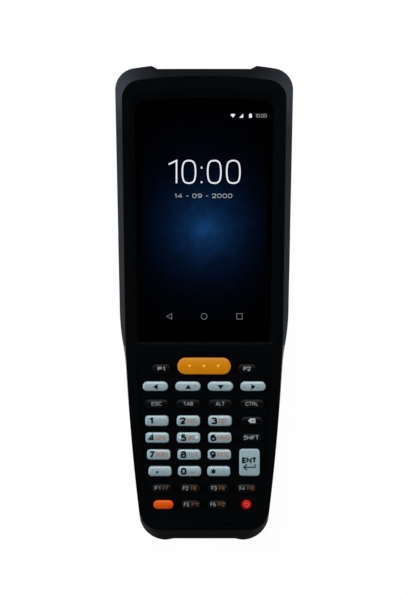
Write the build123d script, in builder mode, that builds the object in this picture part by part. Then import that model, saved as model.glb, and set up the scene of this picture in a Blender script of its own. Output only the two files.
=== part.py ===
"""Portable barcode data terminal with a 34-key pad, lying on its back with its front face up.

X runs across, Y from the tail to the head, Z up through the front face. The origin is the middle of
the back plane. Each piece is built on its own and written to parts/ as one STEP file. Millimetres.
"""

import os

from build123d import *

# ---- Casing, outside ---------------------------------------------------------------------------
length = 198.4  # over the head and tail bumps
width = 74.5  # across the head, at its widest
front_height = 14.0  # joint between the two shells to the front face
wall = 2.0
floor = 2.2  # thickness of the back
bay_depth = 11.5  # of the battery's bay
bay_wall = 1.6
standoff = 1.9  # bay to the main board
joint_above_board = 1.0
lean = 0.1  # how far the walls draw in for each millimetre below the rim
back_radius = 5.5
rim_radius = 1.2
bevel_depth = 6.0  # height of the sloping band round the face
rubber_depth = 7.5  # how far the rubber reaches below the face
rubber_seat = 0.15  # width of the rubber's flat edge in the face
rubber_shelf = 0.5  # plastic under the rubber
rubber_backing = 2.05  # plastic behind the rubber
rubber_head_reach = 117.0  # from the head end down the sides
rubber_tail_reach = 9.0  # from the tail end up the sides

half = width / 2
head = length / 2
tail = -length / 2
circuit_z = bay_depth + bay_wall + standoff  # underside of the main board
split_z = circuit_z + joint_above_board  # joint between the two shells
face_z = split_z + front_height
rim_z = face_z - bevel_depth
rubber_z = face_z - rubber_depth
hollow_step_z = rubber_z - rubber_shelf  # the hollow is narrower above this, behind the rubber
deck_z = face_z - wall  # underside of the face

# Right-hand plan outlines of the rim and of the face inside it: the head corner, the end of the
# straight head, the ends of the two arcs of the waist, and the end of the long arc of the grip.
rim_side = [
    (half + 0.2, head - 2.4),
    (half - 1.9, tail + 96.0),
    (half - 3.32, tail + 82.0),
    (half - 4.57, tail + 71.7),
    (half - 9.9, tail + 12.4),
]
face_side = [
    (half - 2.65, head - 6.96),
    (half - 4.2, tail + 89.2),
    (half - 4.7, tail + 75.2),
    (half - 5.3, tail + 64.6),
    (half - 10.1, tail + 12.2),
]
rim_ends = (head + 1.4, tail)  # crown of the arched head end, line of the tail end
face_ends = (head - 4.3, tail + 4.2)
rim_corners = (9.0, 11.2)  # head, tail
face_corners = (8.0, 9.0)

# The head and tail ends are set back between two bumps: depth, half width at the foot and the top.
head_notch = (1.35, 19.5, 22.0)
tail_notch = (0.65, 12.6, 16.3)

# ---- Window and display ------------------------------------------------------------------------
window_head_gap = 13.55  # head end to the window's crown
window_length = 102.05
window_half_head = 29.2
window_half_tail = 27.5
window_crown = 1.7  # rise of the window's arched end
window_corners = (4.0, 0.8)
sharpest = 0.35  # least radius of an inset corner
window_sink = 0.9  # glass below the face
window_thick = 1.4
window_gap = 0.1
window_chamfer = 0.2
frame_side = 2.3  # width of the sloping frame round the glass
frame_head = 3.65
frame_tail = 1.0
ledge_width = 1.0
ledge_thick = 1.2
ledge_wrap = 2.0  # plastic round the window's pocket
adhesive = 0.2
adhesive_inset = 0.5
display_width = 52.6
display_length = 92.5
display_thick = 2.2
display_head_gap = 4.35  # window's crown to the display

window_top = head - window_head_gap
window_bottom = window_top - window_length
glass_top = face_z - window_sink
glass_bottom = glass_top - window_thick
ledge_top = glass_bottom - adhesive
ledge_bottom = ledge_top - ledge_thick
display_top = window_top - display_head_gap
display_bottom = display_top - display_length
display_bottom_z = ledge_top - display_thick

# ---- Keypad ------------------------------------------------------------------------------------
panel_gap = 4.6  # window to keypad panel
panel_length = 67.3
panel_half_head = 29.0
panel_half_tail = 24.3
panel_corners = (1.0, 5.0)
panel_sink = 0.35
key_gap = 0.25  # between a key and its hole
key_rest_gap = 0.1  # between a key's flange and the deck at rest
key_travel = 0.8
key_clear = 0.05  # left over at the end of the travel
mat_clear = 0.1  # a key's flange to the mat, at the end of the travel
post_sink = 0.05  # how far a key's post reaches into its hole in the mat
flange_thick = 0.7
flange_width = 0.6
key_edge = 0.6  # radius round a key's top
key_crown = 0.5  # how far a key's top curves down to its head and tail edges
post_radius = 1.1
post_gap = 0.3  # between a key's post and the mat
mat_thick = 0.6
mat_rim = 0.6
mat_inset = 0.2  # from the panel's outline to the mat and its board
dome_radius = 1.8
dome_thick = 0.3
board_thick = 1.0
nub_radius = 0.8
nub_rise = 0.28

panel_top = window_bottom - panel_gap
panel_z = face_z - panel_sink
flange_top = deck_z - key_rest_gap
flange_z = flange_top - flange_thick
mat_top = flange_z - key_travel - mat_clear
mat_z = mat_top - mat_thick
post_z = mat_top - post_sink
board_top = post_z - key_travel - key_clear - dome_thick
board_z = board_top - board_thick

# Rows of keys, from the window down: how far below the panel's top edge the row lies, then each
# key as (name, x, width, height, corner radius, how far it stands above the panel).
tall, low, proud = 1.45, 1.2, 1.8
key_rows = [
    (5.4, [("key_scan", 0.0, 22.1, 7.05, 3.4, proud)]),
    (6.5, [
        ("key_p1", -17.9, 7.9, 4.05, 1.95, low),
        ("key_p2", 17.9, 7.9, 4.05, 1.95, low),
    ]),
    (13.8, [
        ("key_left", -20.36, 10.4, 4.0, 1.9, tall),
        ("key_up", -6.77, 10.4, 4.0, 1.9, tall),
        ("key_down", 6.77, 10.4, 4.0, 1.9, tall),
        ("key_right", 20.36, 10.4, 4.0, 1.9, tall),
    ]),
    (21.1, [
        ("key_escape", -19.9, 10.1, 3.85, 1.85, low),
        ("key_tab", -6.69, 10.1, 3.85, 1.85, low),
        ("key_alt", 6.69, 10.1, 3.85, 1.85, low),
        ("key_control", 19.9, 10.1, 3.85, 1.85, low),
    ]),
    (28.2, [
        ("key_1", -19.75, 9.6, 4.4, 1.35, tall),
        ("key_2", -6.6, 9.6, 4.4, 1.35, tall),
        ("key_3", 6.6, 9.6, 4.4, 1.35, tall),
        ("key_backspace", 19.9, 9.2, 3.65, 1.75, low),
    ]),
    (35.25, [
        ("key_4", -19.6, 9.6, 4.4, 1.35, tall),
        ("key_5", -6.52, 9.6, 4.4, 1.35, tall),
        ("key_6", 6.52, 9.6, 4.4, 1.35, tall),
        ("key_shift", 19.67, 8.3, 3.45, 1.65, low),
    ]),
    (42.3, [
        ("key_7", -18.96, 9.6, 4.35, 1.35, tall),
        ("key_8", -6.3, 9.6, 4.35, 1.35, tall),
        ("key_9", 6.35, 9.6, 4.35, 1.35, tall),
    ]),
    (45.6, [("key_enter", 18.9, 8.4, 11.4, 1.35, tall)]),
    (49.25, [
        ("key_dot", -18.4, 9.5, 4.25, 1.45, tall),
        ("key_0", -6.1, 9.5, 4.25, 1.45, tall),
        ("key_star", 6.1, 9.5, 4.25, 1.45, tall),
    ]),
    (56.4, [
        ("key_f1", -17.7, 8.5, 3.7, 1.8, low),
        ("key_f2", -5.93, 8.5, 3.7, 1.8, low),
        ("key_f3", 5.93, 8.5, 3.7, 1.8, low),
        ("key_f4", 17.7, 8.5, 3.7, 1.8, low),
    ]),
    (63.2, [
        ("key_orange", -17.0, 8.1, 3.75, 1.8, tall),
        ("key_f5", -5.54, 8.0, 3.7, 1.8, low),
        ("key_f6", 5.54, 8.0, 3.7, 1.8, low),
        ("key_power", 17.7, 4.05, 4.05, 1.95, low),
    ]),
]
keys = [(name, x, panel_top - drop, *rest) for drop, row in key_rows for name, x, *rest in row]
key_centres = [(x, y) for _, x, y, *_ in keys]
scan_nubs = (-5.95, 0.0, 5.95)  # three nubs along the scan key
five_nubs = (-3.6, 3.6)  # two at the ends of the middle digit key

microphone_spot = (10.6, face_ends[1] + wall + 1.0)
microphone_hole = (1.8, 0.8)  # length and width of the slot over the microphone
microphone_size = (3.5, 2.6, 1.0)
microphone_shift = 0.8  # the hole lies off the middle of the microphone

# ---- Battery and its bay -----------------------------------------------------------------------
bay_head_gap = 69.0
bay_length = 102.0
bay_half_head = 27.5
bay_half_tail = 23.5
bay_corner = 4.0
battery_gap = 0.3
battery_lift = 0.5  # the battery's back clears the back plane
cells_width = 42.0
cells_end_gap = 3.0
cells_floor = 1.7
cells_sink = 0.3
cells_gap = 0.1
latch_length = 15.0
latch_head_gap = 2.5  # bay's head end to the latch
latch_depth = 9.0
latch_width = 2.9  # how far the latch reaches in past the bay's side
latch_travel = 1.2
latch_gap = 0.25
rib_count = 5
rib_pitch = 2.4
rib_groove = 1.1
rib_depth = 0.5

bay_top = head - bay_head_gap
bay_bottom = bay_top - bay_length
battery_top_z = bay_depth - battery_gap
cells_z = battery_lift + cells_floor
cells_top_z = battery_top_z - cells_sink
latch_top = bay_top - latch_head_gap
latch_bottom = latch_top - latch_length
latch_inner = bay_half_head - latch_width

# ---- Boards and chassis ------------------------------------------------------------------------
circuit_thick = 1.2
circuit_half = 26.0
circuit_head_gap = 12.0
circuit_taper_gap = 39.0  # tail end to where the board starts to narrow
circuit_shoulder_gap = 11.0
circuit_shoulder_half = 22.5
circuit_tongue_half = 8.0
circuit_tail_gap = 3.6
chips = [  # centre x, centre y from the bay's head end, across, along, height
    (-5, 30, 22, 20, 2.0),
    (14, 20, 12, 12, 1.4),
    (0, -6, 24, 22, 2.2),
    (-10, -36, 14, 14, 1.6),
    (10, -38, 16, 18, 1.8),
    (0, -70, 20, 10, 1.2),
]
clamp_radius = 2.0
chassis_thick = 1.5
chassis_half = 26.5
chassis_tail_half = 22.5
chassis_head_gap = 15.0
chassis_tail_gap = 13.0
display_pad_inset = 1.0
ear_width = 2.2
ear_length = 8.0
ear_gap = 0.4  # between an ear and the display

circuit_top = circuit_z + circuit_thick
chassis_top = board_z
chassis_z = chassis_top - chassis_thick
clamp_spots = [(x, y) for x in (-20.0, 20.0) for y in (bay_bottom + 7.0, bay_top - 10.0, bay_top + 40.0)]
ear_spots = (window_top - 26.0, window_top - 86.0)

# ---- Screws ------------------------------------------------------------------------------------
screw_radius = 1.25
screw_head_radius = 2.25
screw_head = 1.6
screw_seat_z = 5.0
screw_grip = 6.0  # length of the thread in the post
screw_gap = 0.02  # thread to the post's pilot hole
screw_clear = 0.15  # shank and head to the rear boss
boss_radius = 2.8
post_wall_radius = 2.6
pilot_spare = 1.0  # depth of the pilot hole past the screw's end
screw_end_z = split_z + screw_grip
screw_spots = [(side * x, y) for side in (-1, 1) for x, y in (
    (half - 6.95, head - 15.0),
    (half - 6.95, bay_top + 6.0),
    (half - 19.45, tail + 7.0),
)]

# ---- Side scan buttons -------------------------------------------------------------------------
button_middle = bay_top - 11.0
button_length = 22.0
button_height = 4.4
button_above_joint = 3.2
button_proud = 0.3
button_gap = 0.25
button_flange = 0.5
button_flange_thick = 0.9
button_flange_gap = 0.1

# ---- Scanner, sound, port and strap bars -------------------------------------------------------
scan_half = 16.0
scan_height = 9.8
scan_window_z = 9.4  # middle of the scan window
scan_window_thick = 1.6
scan_window_sink = 1.45  # below the set-back head end
scan_window_gap = 0.1
scan_window_corner = 0.4
scan_window_chamfer = 0.2
scan_aperture_half = 13.5
scan_aperture_height = 6.8
scan_wall = 2.2
engine_size = (22.0, 12.0, 8.0)
engine_lens_radius = 2.6
engine_lamp_radius = 1.8
engine_lamp_spacing = 7.0  # lens to each lamp
engine_barrel_radius = 1.6
engine_lens_depth = 1.0
engine_foot_radius = 1.5
engine_foot_inset = 2.0
speaker_size = (20.0, 12.0, 4.5)
speaker_corner = 1.5
speaker_above_bay = 36.0
slot_count = 5
slot_pitch = 2.9
slot_size = (9.0, 1.2)
motor_radius = 5.0
motor_thick = 3.2
motor_spot = (-20.5, bay_top + 26.0)
usb_size = (8.94, 7.3, 3.2)
usb_shell = 0.3
usb_back = 1.0
usb_tongue = (6.7, 4.5, 0.7)
usb_inset = 1.4  # tail end to the port's mouth
usb_gap = 0.2
contact_size = (14.0, 5.0)
contact_head_gap = 8.0
contact_pins = 4
contact_pitch = 3.0
contact_pin_radius = 0.4
contact_pad = (2.0, 4.0)
contact_clear = 0.05
strap_half = 8.5
strap_reach = 6.2  # half of a strap recess, along the casing
strap_room = 8.5  # depth of a strap recess
strap_wall = 1.5
strap_bar_radius = 1.5
strap_bar_z = 2.6
strap_spots = (bay_top + 14.0, tail + 15.0)
seal_inset = 0.6  # from the joint's outer edge to the seal
seal_width = 0.8
seal_height = 0.8

head_end = head - head_notch[0]  # the set-back head end
hollow_head = head_end - wall
scan_window_back = head_end - scan_window_sink - scan_window_thick
engine_front = scan_window_back - scan_wall
engine_z = scan_window_z - engine_size[2] / 2
usb_mouth = tail + usb_inset
usb_z = circuit_z - usb_size[2] / 2
contact_middle = bay_top - contact_head_gap
far = length + width  # past everything, for cutting
past = 1.0  # how far a cutting tool stands past what it cuts
button_z = split_z + button_above_joint


# ---- Outlines ----------------------------------------------------------------------------------
def casing_outline(side, ends, corners, inset, z):
    """Closed plan outline at height z: straight head sides, the waist's two arcs, the grip's long arc."""
    crown, tail_line = ends
    corner = side[0]
    with BuildSketch(Plane.XY.offset(z)) as outline:
        with BuildLine():
            ThreePointArc((-corner[0], corner[1]), (0, crown), corner)
            for hand in (-1, 1):
                run = [Vector(hand * x, y) for x, y in side]
                edge = Line(run[0], run[1])
                for start, end in zip(run[1:], run[2:]):
                    edge = TangentArc(start, end, tangent=edge % 1)
                aim = edge % 1
                foot = run[-1] + aim * ((tail_line - run[-1].Y) / aim.Y)
                Line(run[-1], foot)
            Line((-foot.X, foot.Y), foot)
        make_face()
        for y, radius in zip((corner[1], tail_line), corners):
            at_corner = outline.vertices().filter_by_position(Axis.Y, y - 0.01, y + 0.01)
            fillet(at_corner, radius=radius)
        if inset:
            offset(amount=-inset)
    return outline.sketch


def rim_outline(z, inset=0.0):
    """The rim's outline, drawn in by the walls' lean where z is below the rim, and by inset."""
    return casing_outline(rim_side, rim_ends, rim_corners, inset + max(rim_z - z, 0) * lean, z)


def face_outline(z, inset=0.0):
    return casing_outline(face_side, face_ends, face_corners, inset, z)


def tapered_outline(top, bottom, half_top, half_bottom, corners, z, crown=0.0):
    """Symmetrical four-sided outline, with its head edge arched by crown and its corners rounded."""
    shoulder = top - crown
    with BuildSketch(Plane.XY.offset(z)) as outline:
        with BuildLine():
            if crown:
                ThreePointArc((-half_top, shoulder), (0, top), (half_top, shoulder))
            else:
                Line((-half_top, shoulder), (half_top, shoulder))
            Line((half_top, shoulder), (half_bottom, bottom))
            Line((half_bottom, bottom), (-half_bottom, bottom))
            Line((-half_bottom, bottom), (-half_top, shoulder))
        make_face()
        for y, radius in zip((shoulder, bottom), corners):
            at_corner = outline.vertices().filter_by_position(Axis.Y, y - 0.01, y + 0.01)
            fillet(at_corner, radius=radius)
    return outline.sketch


def window_outline(z, side=0.0, head_grow=0.0, tail_grow=0.0):
    """The window's outline, grown at its sides, its head end and its tail end."""
    corners = [max(radius + side, sharpest) for radius in window_corners]
    return tapered_outline(window_top + head_grow, window_bottom - tail_grow, window_half_head + side,
                           window_half_tail + side, corners, z, window_crown)


def panel_outline(z, inset=0.0):
    corners = [max(radius - inset, sharpest) for radius in panel_corners]
    return tapered_outline(panel_top - inset, panel_top - panel_length + inset, panel_half_head - inset,
                           panel_half_tail - inset, corners, z)


def bay_outline(z, grow=0.0):
    corners = (bay_corner + grow, bay_corner + grow)
    return tapered_outline(bay_top + grow, bay_bottom - grow, bay_half_head + grow, bay_half_tail + grow,
                           corners, z)


# ---- Plain tools -------------------------------------------------------------------------------
def block(x_range, y_range, z_range):
    """A plain block that fills three ranges."""
    spans = (x_range, y_range, z_range)
    with BuildPart() as made:
        with Locations(tuple(sum(span) / 2 for span in spans)):
            Box(*(abs(span[1] - span[0]) for span in spans))
    return made.part


def everywhere(z_range):
    return block((-far, far), (-far, far), z_range)


def upright(spots, radius, z_range):
    """Round bars that stand at spots."""
    with BuildPart() as made:
        with BuildSketch(Plane.XY.offset(z_range[0])):
            with Locations(*spots):
                Circle(radius)
        extrude(amount=z_range[1] - z_range[0])
    return made.part


def prism(sketch, z_range, outer=None):
    """The sketch, made z_range high, or what lies between it and a larger outer sketch."""
    with BuildPart() as made:
        extrude(outer or sketch, amount=z_range[1] - z_range[0])
        if outer:
            extrude(sketch, amount=z_range[1] - z_range[0], mode=Mode.SUBTRACT)
    return made.part


def end_notch(shape, end, way):
    """Tool that sets an end back between its two bumps. way is 1 at the head and -1 at the tail."""
    depth, foot, top = shape
    reach = 3 * depth
    wide = foot + (top - foot) / depth * reach
    with BuildPart() as made:
        with BuildSketch(Plane.XY.offset(-past)):
            with BuildLine():
                Polyline((-foot, end - way * depth), (foot, end - way * depth),
                         (wide, end + way * (reach - depth)), (-wide, end + way * (reach - depth)),
                         close=True)
            make_face()
        extrude(amount=face_z + 2 * past)
    return made.part


def walls_form(bottom_z, inset=0.0):
    """The leaning walls and the rounded back, from bottom_z up to the rim, drawn in by inset."""
    with BuildPart() as made:
        loft([rim_outline(bottom_z, inset).face(), rim_outline(rim_z, inset).face()], ruled=True)
        fillet(made.faces().sort_by(Axis.Z)[0].edges(), back_radius - inset)
    return made.part


def casing_form():
    """The whole outside of the casing."""
    with BuildPart() as made:
        add(walls_form(0))
        loft([rim_outline(rim_z).face(), face_outline(face_z).face()], ruled=True)
        fillet(made.edges().filter_by_position(Axis.Z, rim_z - 0.01, rim_z + 0.01), rim_radius)
        add(end_notch(head_notch, head, 1), mode=Mode.SUBTRACT)
        add(end_notch(tail_notch, tail, -1), mode=Mode.SUBTRACT)
    return made.part


def split_casing(keep):
    with BuildPart() as made:
        add(casing)
        split(bisect_by=Plane.XY.offset(split_z), keep=keep)
    return made.part


casing = casing_form()
front_form = split_casing(Keep.TOP)
back_form = split_casing(Keep.BOTTOM)
past_hollow = block((-far, far), (hollow_head, far), (-past, face_z + past))


# ---- Keys --------------------------------------------------------------------------------------
def key_nubs(name):
    """How far along the key its raised nubs stand."""
    return {"key_scan": scan_nubs, "key_5": five_nubs}.get(name, ())


def crown_form(y, along, cap_top):
    """A bar whose round top is a key's crowned top."""
    radius = (along ** 2 / 4 + key_crown ** 2) / (2 * key_crown)
    with BuildPart() as made:
        with Locations((0, y, cap_top - radius)):
            Cylinder(radius, 2 * far, rotation=(0, 90, 0))
    return made.part


def make_key(name, x, y, across, along, corner, rise):
    """One key: a cap, the flange that holds it under the deck, and the post that works its dome."""
    cap_top = panel_z + rise
    with BuildPart() as key:
        with BuildSketch(Plane.XY.offset(flange_top)):
            with Locations((x, y)):
                RectangleRounded(across, along, corner)
        extrude(amount=cap_top - flange_top)
        add(crown_form(y, along, cap_top), mode=Mode.INTERSECT)
        fillet(key.faces().sort_by(Axis.Z)[-1].edges(), key_edge)
        with BuildSketch(Plane.XY.offset(flange_z)):
            with Locations((x, y)):
                RectangleRounded(across + 2 * flange_width, along + 2 * flange_width, corner + flange_width)
        extrude(amount=flange_thick)
        for step in key_nubs(name):
            with Locations((x + step, y, cap_top + nub_rise - nub_radius)):
                Sphere(nub_radius)
        add(upright([(x, y)], post_radius, (post_z, flange_z)))
    return key.part


def key_holes():
    """All the keys' holes through the deck."""
    with BuildPart() as made:
        with BuildSketch(Plane.XY.offset(deck_z - past)):
            for _, x, y, across, along, corner, _ in keys:
                with Locations((x, y)):
                    RectangleRounded(across + 2 * key_gap, along + 2 * key_gap, corner + key_gap)
        extrude(amount=wall + 2 * past)
    return made.part


# ---- Front shell, its rubber and the seal ------------------------------------------------------
def make_rubber():
    """The rubber band over the head and over the tail, outside the face."""
    with BuildPart() as rubber:
        add(front_form)
        add(everywhere((0, rubber_z)), mode=Mode.SUBTRACT)
        add(prism(face_outline(rubber_z - past, rubber_seat), (rubber_z - past, face_z + past)),
            mode=Mode.SUBTRACT)
        add(block((-far, far), (tail + rubber_tail_reach, head - rubber_head_reach), (0, face_z + past)),
            mode=Mode.SUBTRACT)
    return rubber.part


def make_seal():
    """The flat ring in the joint. It runs straight across behind the set-back head end."""
    span = (split_z - seal_height / 2, split_z + seal_height / 2)
    outer = rim_outline(span[0], seal_inset - lean * seal_height / 2)
    outer_y = head_end - seal_inset
    with BuildPart() as seal:
        extrude(outer, amount=seal_height)
        add(block((-far, far), (outer_y, far), span), mode=Mode.SUBTRACT)
        add(seal_core(span, outer_y - seal_width), mode=Mode.SUBTRACT)
    return seal.part


def seal_core(span, head_y):
    """What the seal goes round."""
    with BuildPart() as core:
        extrude(rim_outline(span[0], seal_inset + seal_width - lean * seal_height / 2), amount=seal_height)
        add(block((-far, far), (head_y, far), span), mode=Mode.SUBTRACT)
    return core.part


def window_recess():
    """Tool for the sloping frame round the glass. It stands a little past the face."""
    over = 0.2
    grow = 1 + over / window_sink
    rim = window_outline(face_z + over, frame_side * grow, frame_head * grow, frame_tail * grow)
    with BuildPart() as made:
        loft([window_outline(glass_top).face(), rim.face()], ruled=True)
    return made.part


def front_hollow():
    """The room inside the front shell: wider low down, narrower behind the rubber."""
    with BuildPart() as hollow:
        extrude(rim_outline(split_z, wall), amount=hollow_step_z - split_z)
        extrude(face_outline(split_z, rubber_seat + rubber_backing), amount=deck_z - split_z)
        add(past_hollow, mode=Mode.SUBTRACT)
    return hollow.part


def button_bar(x_range, grow=0.0):
    """A flat bar with round ends, through the side wall."""
    with BuildPart() as made:
        with BuildSketch(Plane.YZ.offset(x_range[0])):
            with Locations((button_middle, button_z)):
                SlotOverall(button_length + 2 * grow, button_height + 2 * grow)
        extrude(amount=x_range[1] - x_range[0])
    return made.part


def microphone_slot():
    """Sound slot through the face, over the microphone."""
    with BuildPart() as made:
        with BuildSketch(Plane.XY.offset(deck_z - past)):
            with Locations(microphone_spot):
                SlotOverall(*microphone_hole)
        extrude(amount=wall + 2 * past)
    return made.part


def make_front_housing(rubber, seal):
    ledge_grow = (ledge_wrap, ledge_wrap, ledge_wrap)
    aperture_grow = (-ledge_width, -ledge_width, -ledge_width)
    inner_half = half - 3 * wall  # well inside the side walls
    with BuildPart() as front_housing:
        add(front_form)
        add(rubber, mode=Mode.SUBTRACT)
        add(front_hollow(), mode=Mode.SUBTRACT)
        add(prism(window_outline(ledge_bottom, *ledge_grow), (ledge_bottom, deck_z)))
        add(upright(screw_spots, post_wall_radius, (split_z, deck_z + wall / 2)))
        add(prism(window_outline(ledge_top), (ledge_top, glass_top)), mode=Mode.SUBTRACT)
        add(prism(window_outline(ledge_bottom, *aperture_grow), (ledge_bottom, ledge_top)),
            mode=Mode.SUBTRACT)
        add(window_recess(), mode=Mode.SUBTRACT)
        add(prism(panel_outline(panel_z), (panel_z, face_z + past)), mode=Mode.SUBTRACT)
        add(key_holes(), mode=Mode.SUBTRACT)
        add(upright(screw_spots, screw_radius + screw_gap, (split_z, screw_end_z + pilot_spare)),
            mode=Mode.SUBTRACT)
        for hand in (-1, 1):
            add(button_bar((hand * inner_half, hand * far), button_gap), mode=Mode.SUBTRACT)
        add(microphone_slot(), mode=Mode.SUBTRACT)
        add(seal, mode=Mode.SUBTRACT)
    return front_housing.part


def make_scan_button(hand):
    """A side trigger: a pad that follows the wall and stands just proud, with a flange inside the wall."""
    flange_end = button_middle - button_length / 2 - button_flange
    (head_x, head_y), (waist_x, waist_y) = rim_side[:2]
    side_half = waist_x + (head_x - waist_x) * (flange_end - waist_y) / (head_y - waist_y)
    inside = side_half - (rim_z - split_z) * lean - wall - button_flange_gap
    with BuildPart() as button:
        loft([rim_outline(split_z, -button_proud).face(), rim_outline(rim_z, -button_proud).face()],
             ruled=True)
        add(button_bar((hand * inside, hand * far)), mode=Mode.INTERSECT)
        add(button_bar((hand * inside, hand * (inside - button_flange_thick)), button_flange))
    return button.part


# ---- Rear shell --------------------------------------------------------------------------------
def latch_room(hand, inner, wrap=0.0):
    """The room round a latch, from inner out past the side wall."""
    margin = latch_gap + wrap
    return block((hand * inner, hand * far), (latch_bottom - margin, latch_top + margin),
                 (-past, latch_depth + margin))


def rear_fittings():
    """Everything that stands up inside the rear shell, before it is trimmed to the shell."""
    strap_box = strap_half + strap_wall + bay_wall
    foot_x = engine_size[0] / 2 - engine_foot_inset
    engine_feet = [(side * foot_x, engine_front - along)
                   for side in (-1, 1) for along in (engine_foot_inset, engine_size[1] - engine_foot_inset)]
    with BuildPart() as fittings:
        add(prism(bay_outline(0, bay_wall), (0, bay_depth + bay_wall)))
        for hand in (-1, 1):
            add(latch_room(hand, latch_inner, bay_wall))
        add(upright(screw_spots, boss_radius, (0, split_z)))
        add(upright(clamp_spots, clamp_radius, (floor, circuit_z)))
        add(upright(engine_feet, engine_foot_radius, (0, engine_z)))
        for y in strap_spots:
            add(block((-strap_box, strap_box), (y - strap_reach - bay_wall, y + strap_reach + bay_wall),
                      (0, strap_room + strap_wall)))
        add(block((-scan_half - wall, scan_half + wall), (engine_front, head), (0, split_z)))
    return fittings.part


def rear_hollow():
    """The room inside the rear shell, less what stands in it."""
    with BuildPart() as hollow:
        add(walls_form(floor, wall))
        add(everywhere((split_z, rim_z + past)), mode=Mode.SUBTRACT)
        add(past_hollow, mode=Mode.SUBTRACT)
        add(rear_fittings(), mode=Mode.SUBTRACT)
    return hollow.part


def speaker_slots():
    """Sound slots through the back, under the loudspeaker."""
    with BuildPart() as made:
        with BuildSketch(Plane.XY.offset(-past)):
            with Locations((0, bay_top + speaker_above_bay)):
                with GridLocations(slot_pitch, 1, slot_count, 1):
                    SlotOverall(*slot_size, rotation=90)
        extrude(amount=floor + 2 * past)
    return made.part


def scan_opening():
    """The scan window's pocket in the head end, and the aperture behind it."""
    pocket_half = scan_height / 2 + scan_window_gap
    aperture_half = scan_aperture_height / 2
    with BuildPart() as made:
        add(block((-scan_half - scan_window_gap, scan_half + scan_window_gap), (scan_window_back, far),
                  (scan_window_z - pocket_half, scan_window_z + pocket_half)))
        add(block((-scan_aperture_half, scan_aperture_half), (engine_front - past, scan_window_back),
                  (scan_window_z - aperture_half, scan_window_z + aperture_half)))
    return made.part


def port_opening():
    with BuildPart() as made:
        with BuildSketch(Plane(origin=(0, tail - past, usb_z), x_dir=(1, 0, 0), z_dir=(0, 1, 0))):
            SlotOverall(usb_size[0] + 2 * usb_gap, usb_size[2] + 2 * usb_gap)
        extrude(amount=past + usb_inset + usb_size[1] + past)
    return made.part


def contact_body():
    """The battery contacts' block, from the bay's ceiling to the main board."""
    half_across, half_along = contact_size[0] / 2, contact_size[1] / 2
    return block((-half_across, half_across), (contact_middle - half_along, contact_middle + half_along),
                 (bay_depth, circuit_z))


def make_strap_bars():
    """A steel bar across each strap recess, its ends let into both walls."""
    end = strap_half + strap_wall
    with BuildPart() as strap_bars:
        with BuildSketch(Plane.YZ.offset(-end)):
            for y in strap_spots:
                with Locations((y, strap_bar_z)):
                    Circle(strap_bar_radius)
        extrude(amount=2 * end)
    return strap_bars.part


def make_rear_housing(seal, strap_bars):
    with BuildPart() as rear_housing:
        add(back_form)
        add(rear_hollow(), mode=Mode.SUBTRACT)
        add(prism(bay_outline(-past), (-past, bay_depth)), mode=Mode.SUBTRACT)
        for hand in (-1, 1):
            add(latch_room(hand, latch_inner), mode=Mode.SUBTRACT)
        for y in strap_spots:
            add(block((-strap_half, strap_half), (y - strap_reach, y + strap_reach), (-past, strap_room)),
                mode=Mode.SUBTRACT)
        add(strap_bars, mode=Mode.SUBTRACT)
        add(upright(screw_spots, screw_radius + screw_clear, (-past, split_z + past)), mode=Mode.SUBTRACT)
        add(upright(screw_spots, screw_head_radius + screw_clear, (-past, screw_seat_z)), mode=Mode.SUBTRACT)
        add(scan_opening(), mode=Mode.SUBTRACT)
        add(speaker_slots(), mode=Mode.SUBTRACT)
        add(port_opening(), mode=Mode.SUBTRACT)
        add(contact_body(), mode=Mode.SUBTRACT)
        add(seal, mode=Mode.SUBTRACT)
    return rear_housing.part


def make_screws():
    """Six pan-head screws, driven from the back."""
    with BuildPart() as screws:
        add(upright(screw_spots, screw_head_radius, (screw_seat_z - screw_head, screw_seat_z)))
        add(upright(screw_spots, screw_radius, (screw_seat_z, screw_end_z)))
        with BuildSketch(Plane.XY.offset(screw_seat_z - screw_head)):
            with Locations(*screw_spots):
                RegularPolygon(screw_head_radius / 2, 6)
        extrude(amount=screw_head / 2, mode=Mode.SUBTRACT)
    return screws.part


# ---- Battery -----------------------------------------------------------------------------------
def cells_block(z_range, grow=0.0):
    half_across = cells_width / 2 + grow
    ends = (bay_bottom + cells_end_gap - grow, bay_top - cells_end_gap + grow)
    return block((-half_across, half_across), ends, z_range)


def make_battery_case():
    """The battery's outer tray, whose back carries on the curve of the rear shell."""
    with BuildPart() as battery_case:
        add(prism(bay_outline(0, -battery_gap), (0, battery_top_z)))
        add(casing, mode=Mode.INTERSECT)
        add(everywhere((-past, battery_lift)), mode=Mode.SUBTRACT)
        add(cells_block((cells_z, bay_depth), cells_gap), mode=Mode.SUBTRACT)
        for hand in (-1, 1):
            add(latch_room(hand, latch_inner - latch_travel - latch_gap), mode=Mode.SUBTRACT)
    return battery_case.part


def make_battery_cells():
    """The sealed cell pack in the tray, with its contact pads."""
    with BuildPart() as cells:
        add(cells_block((cells_z, cells_top_z)))
        with BuildSketch(Plane.XY.offset(cells_top_z)):
            with Locations((0, contact_middle)):
                with GridLocations(contact_pitch, 1, contact_pins, 1):
                    Rectangle(*contact_pad)
        extrude(amount=cells_sink - contact_clear)
    return cells.part


def latch_grooves():
    """Finger grooves in the latches' outer skin."""
    with BuildPart() as grooves:
        with Locations((0, (latch_bottom + latch_top) / 2, latch_depth / 2)):
            with GridLocations(1, rib_pitch, 1, rib_count):
                Box(2 * far, rib_groove, latch_depth - 2 * rib_groove)
        add(walls_form(0, rib_depth), mode=Mode.SUBTRACT)
    return grooves.part


def make_latch(hand):
    """A battery latch: a ribbed pad flush with the casing, squeezed inwards to let the battery go."""
    with BuildPart() as latch:
        add(block((hand * latch_inner, hand * far), (latch_bottom, latch_top), (battery_lift, latch_depth)))
        add(casing, mode=Mode.INTERSECT)
        add(latch_grooves(), mode=Mode.SUBTRACT)
    return latch.part


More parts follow.
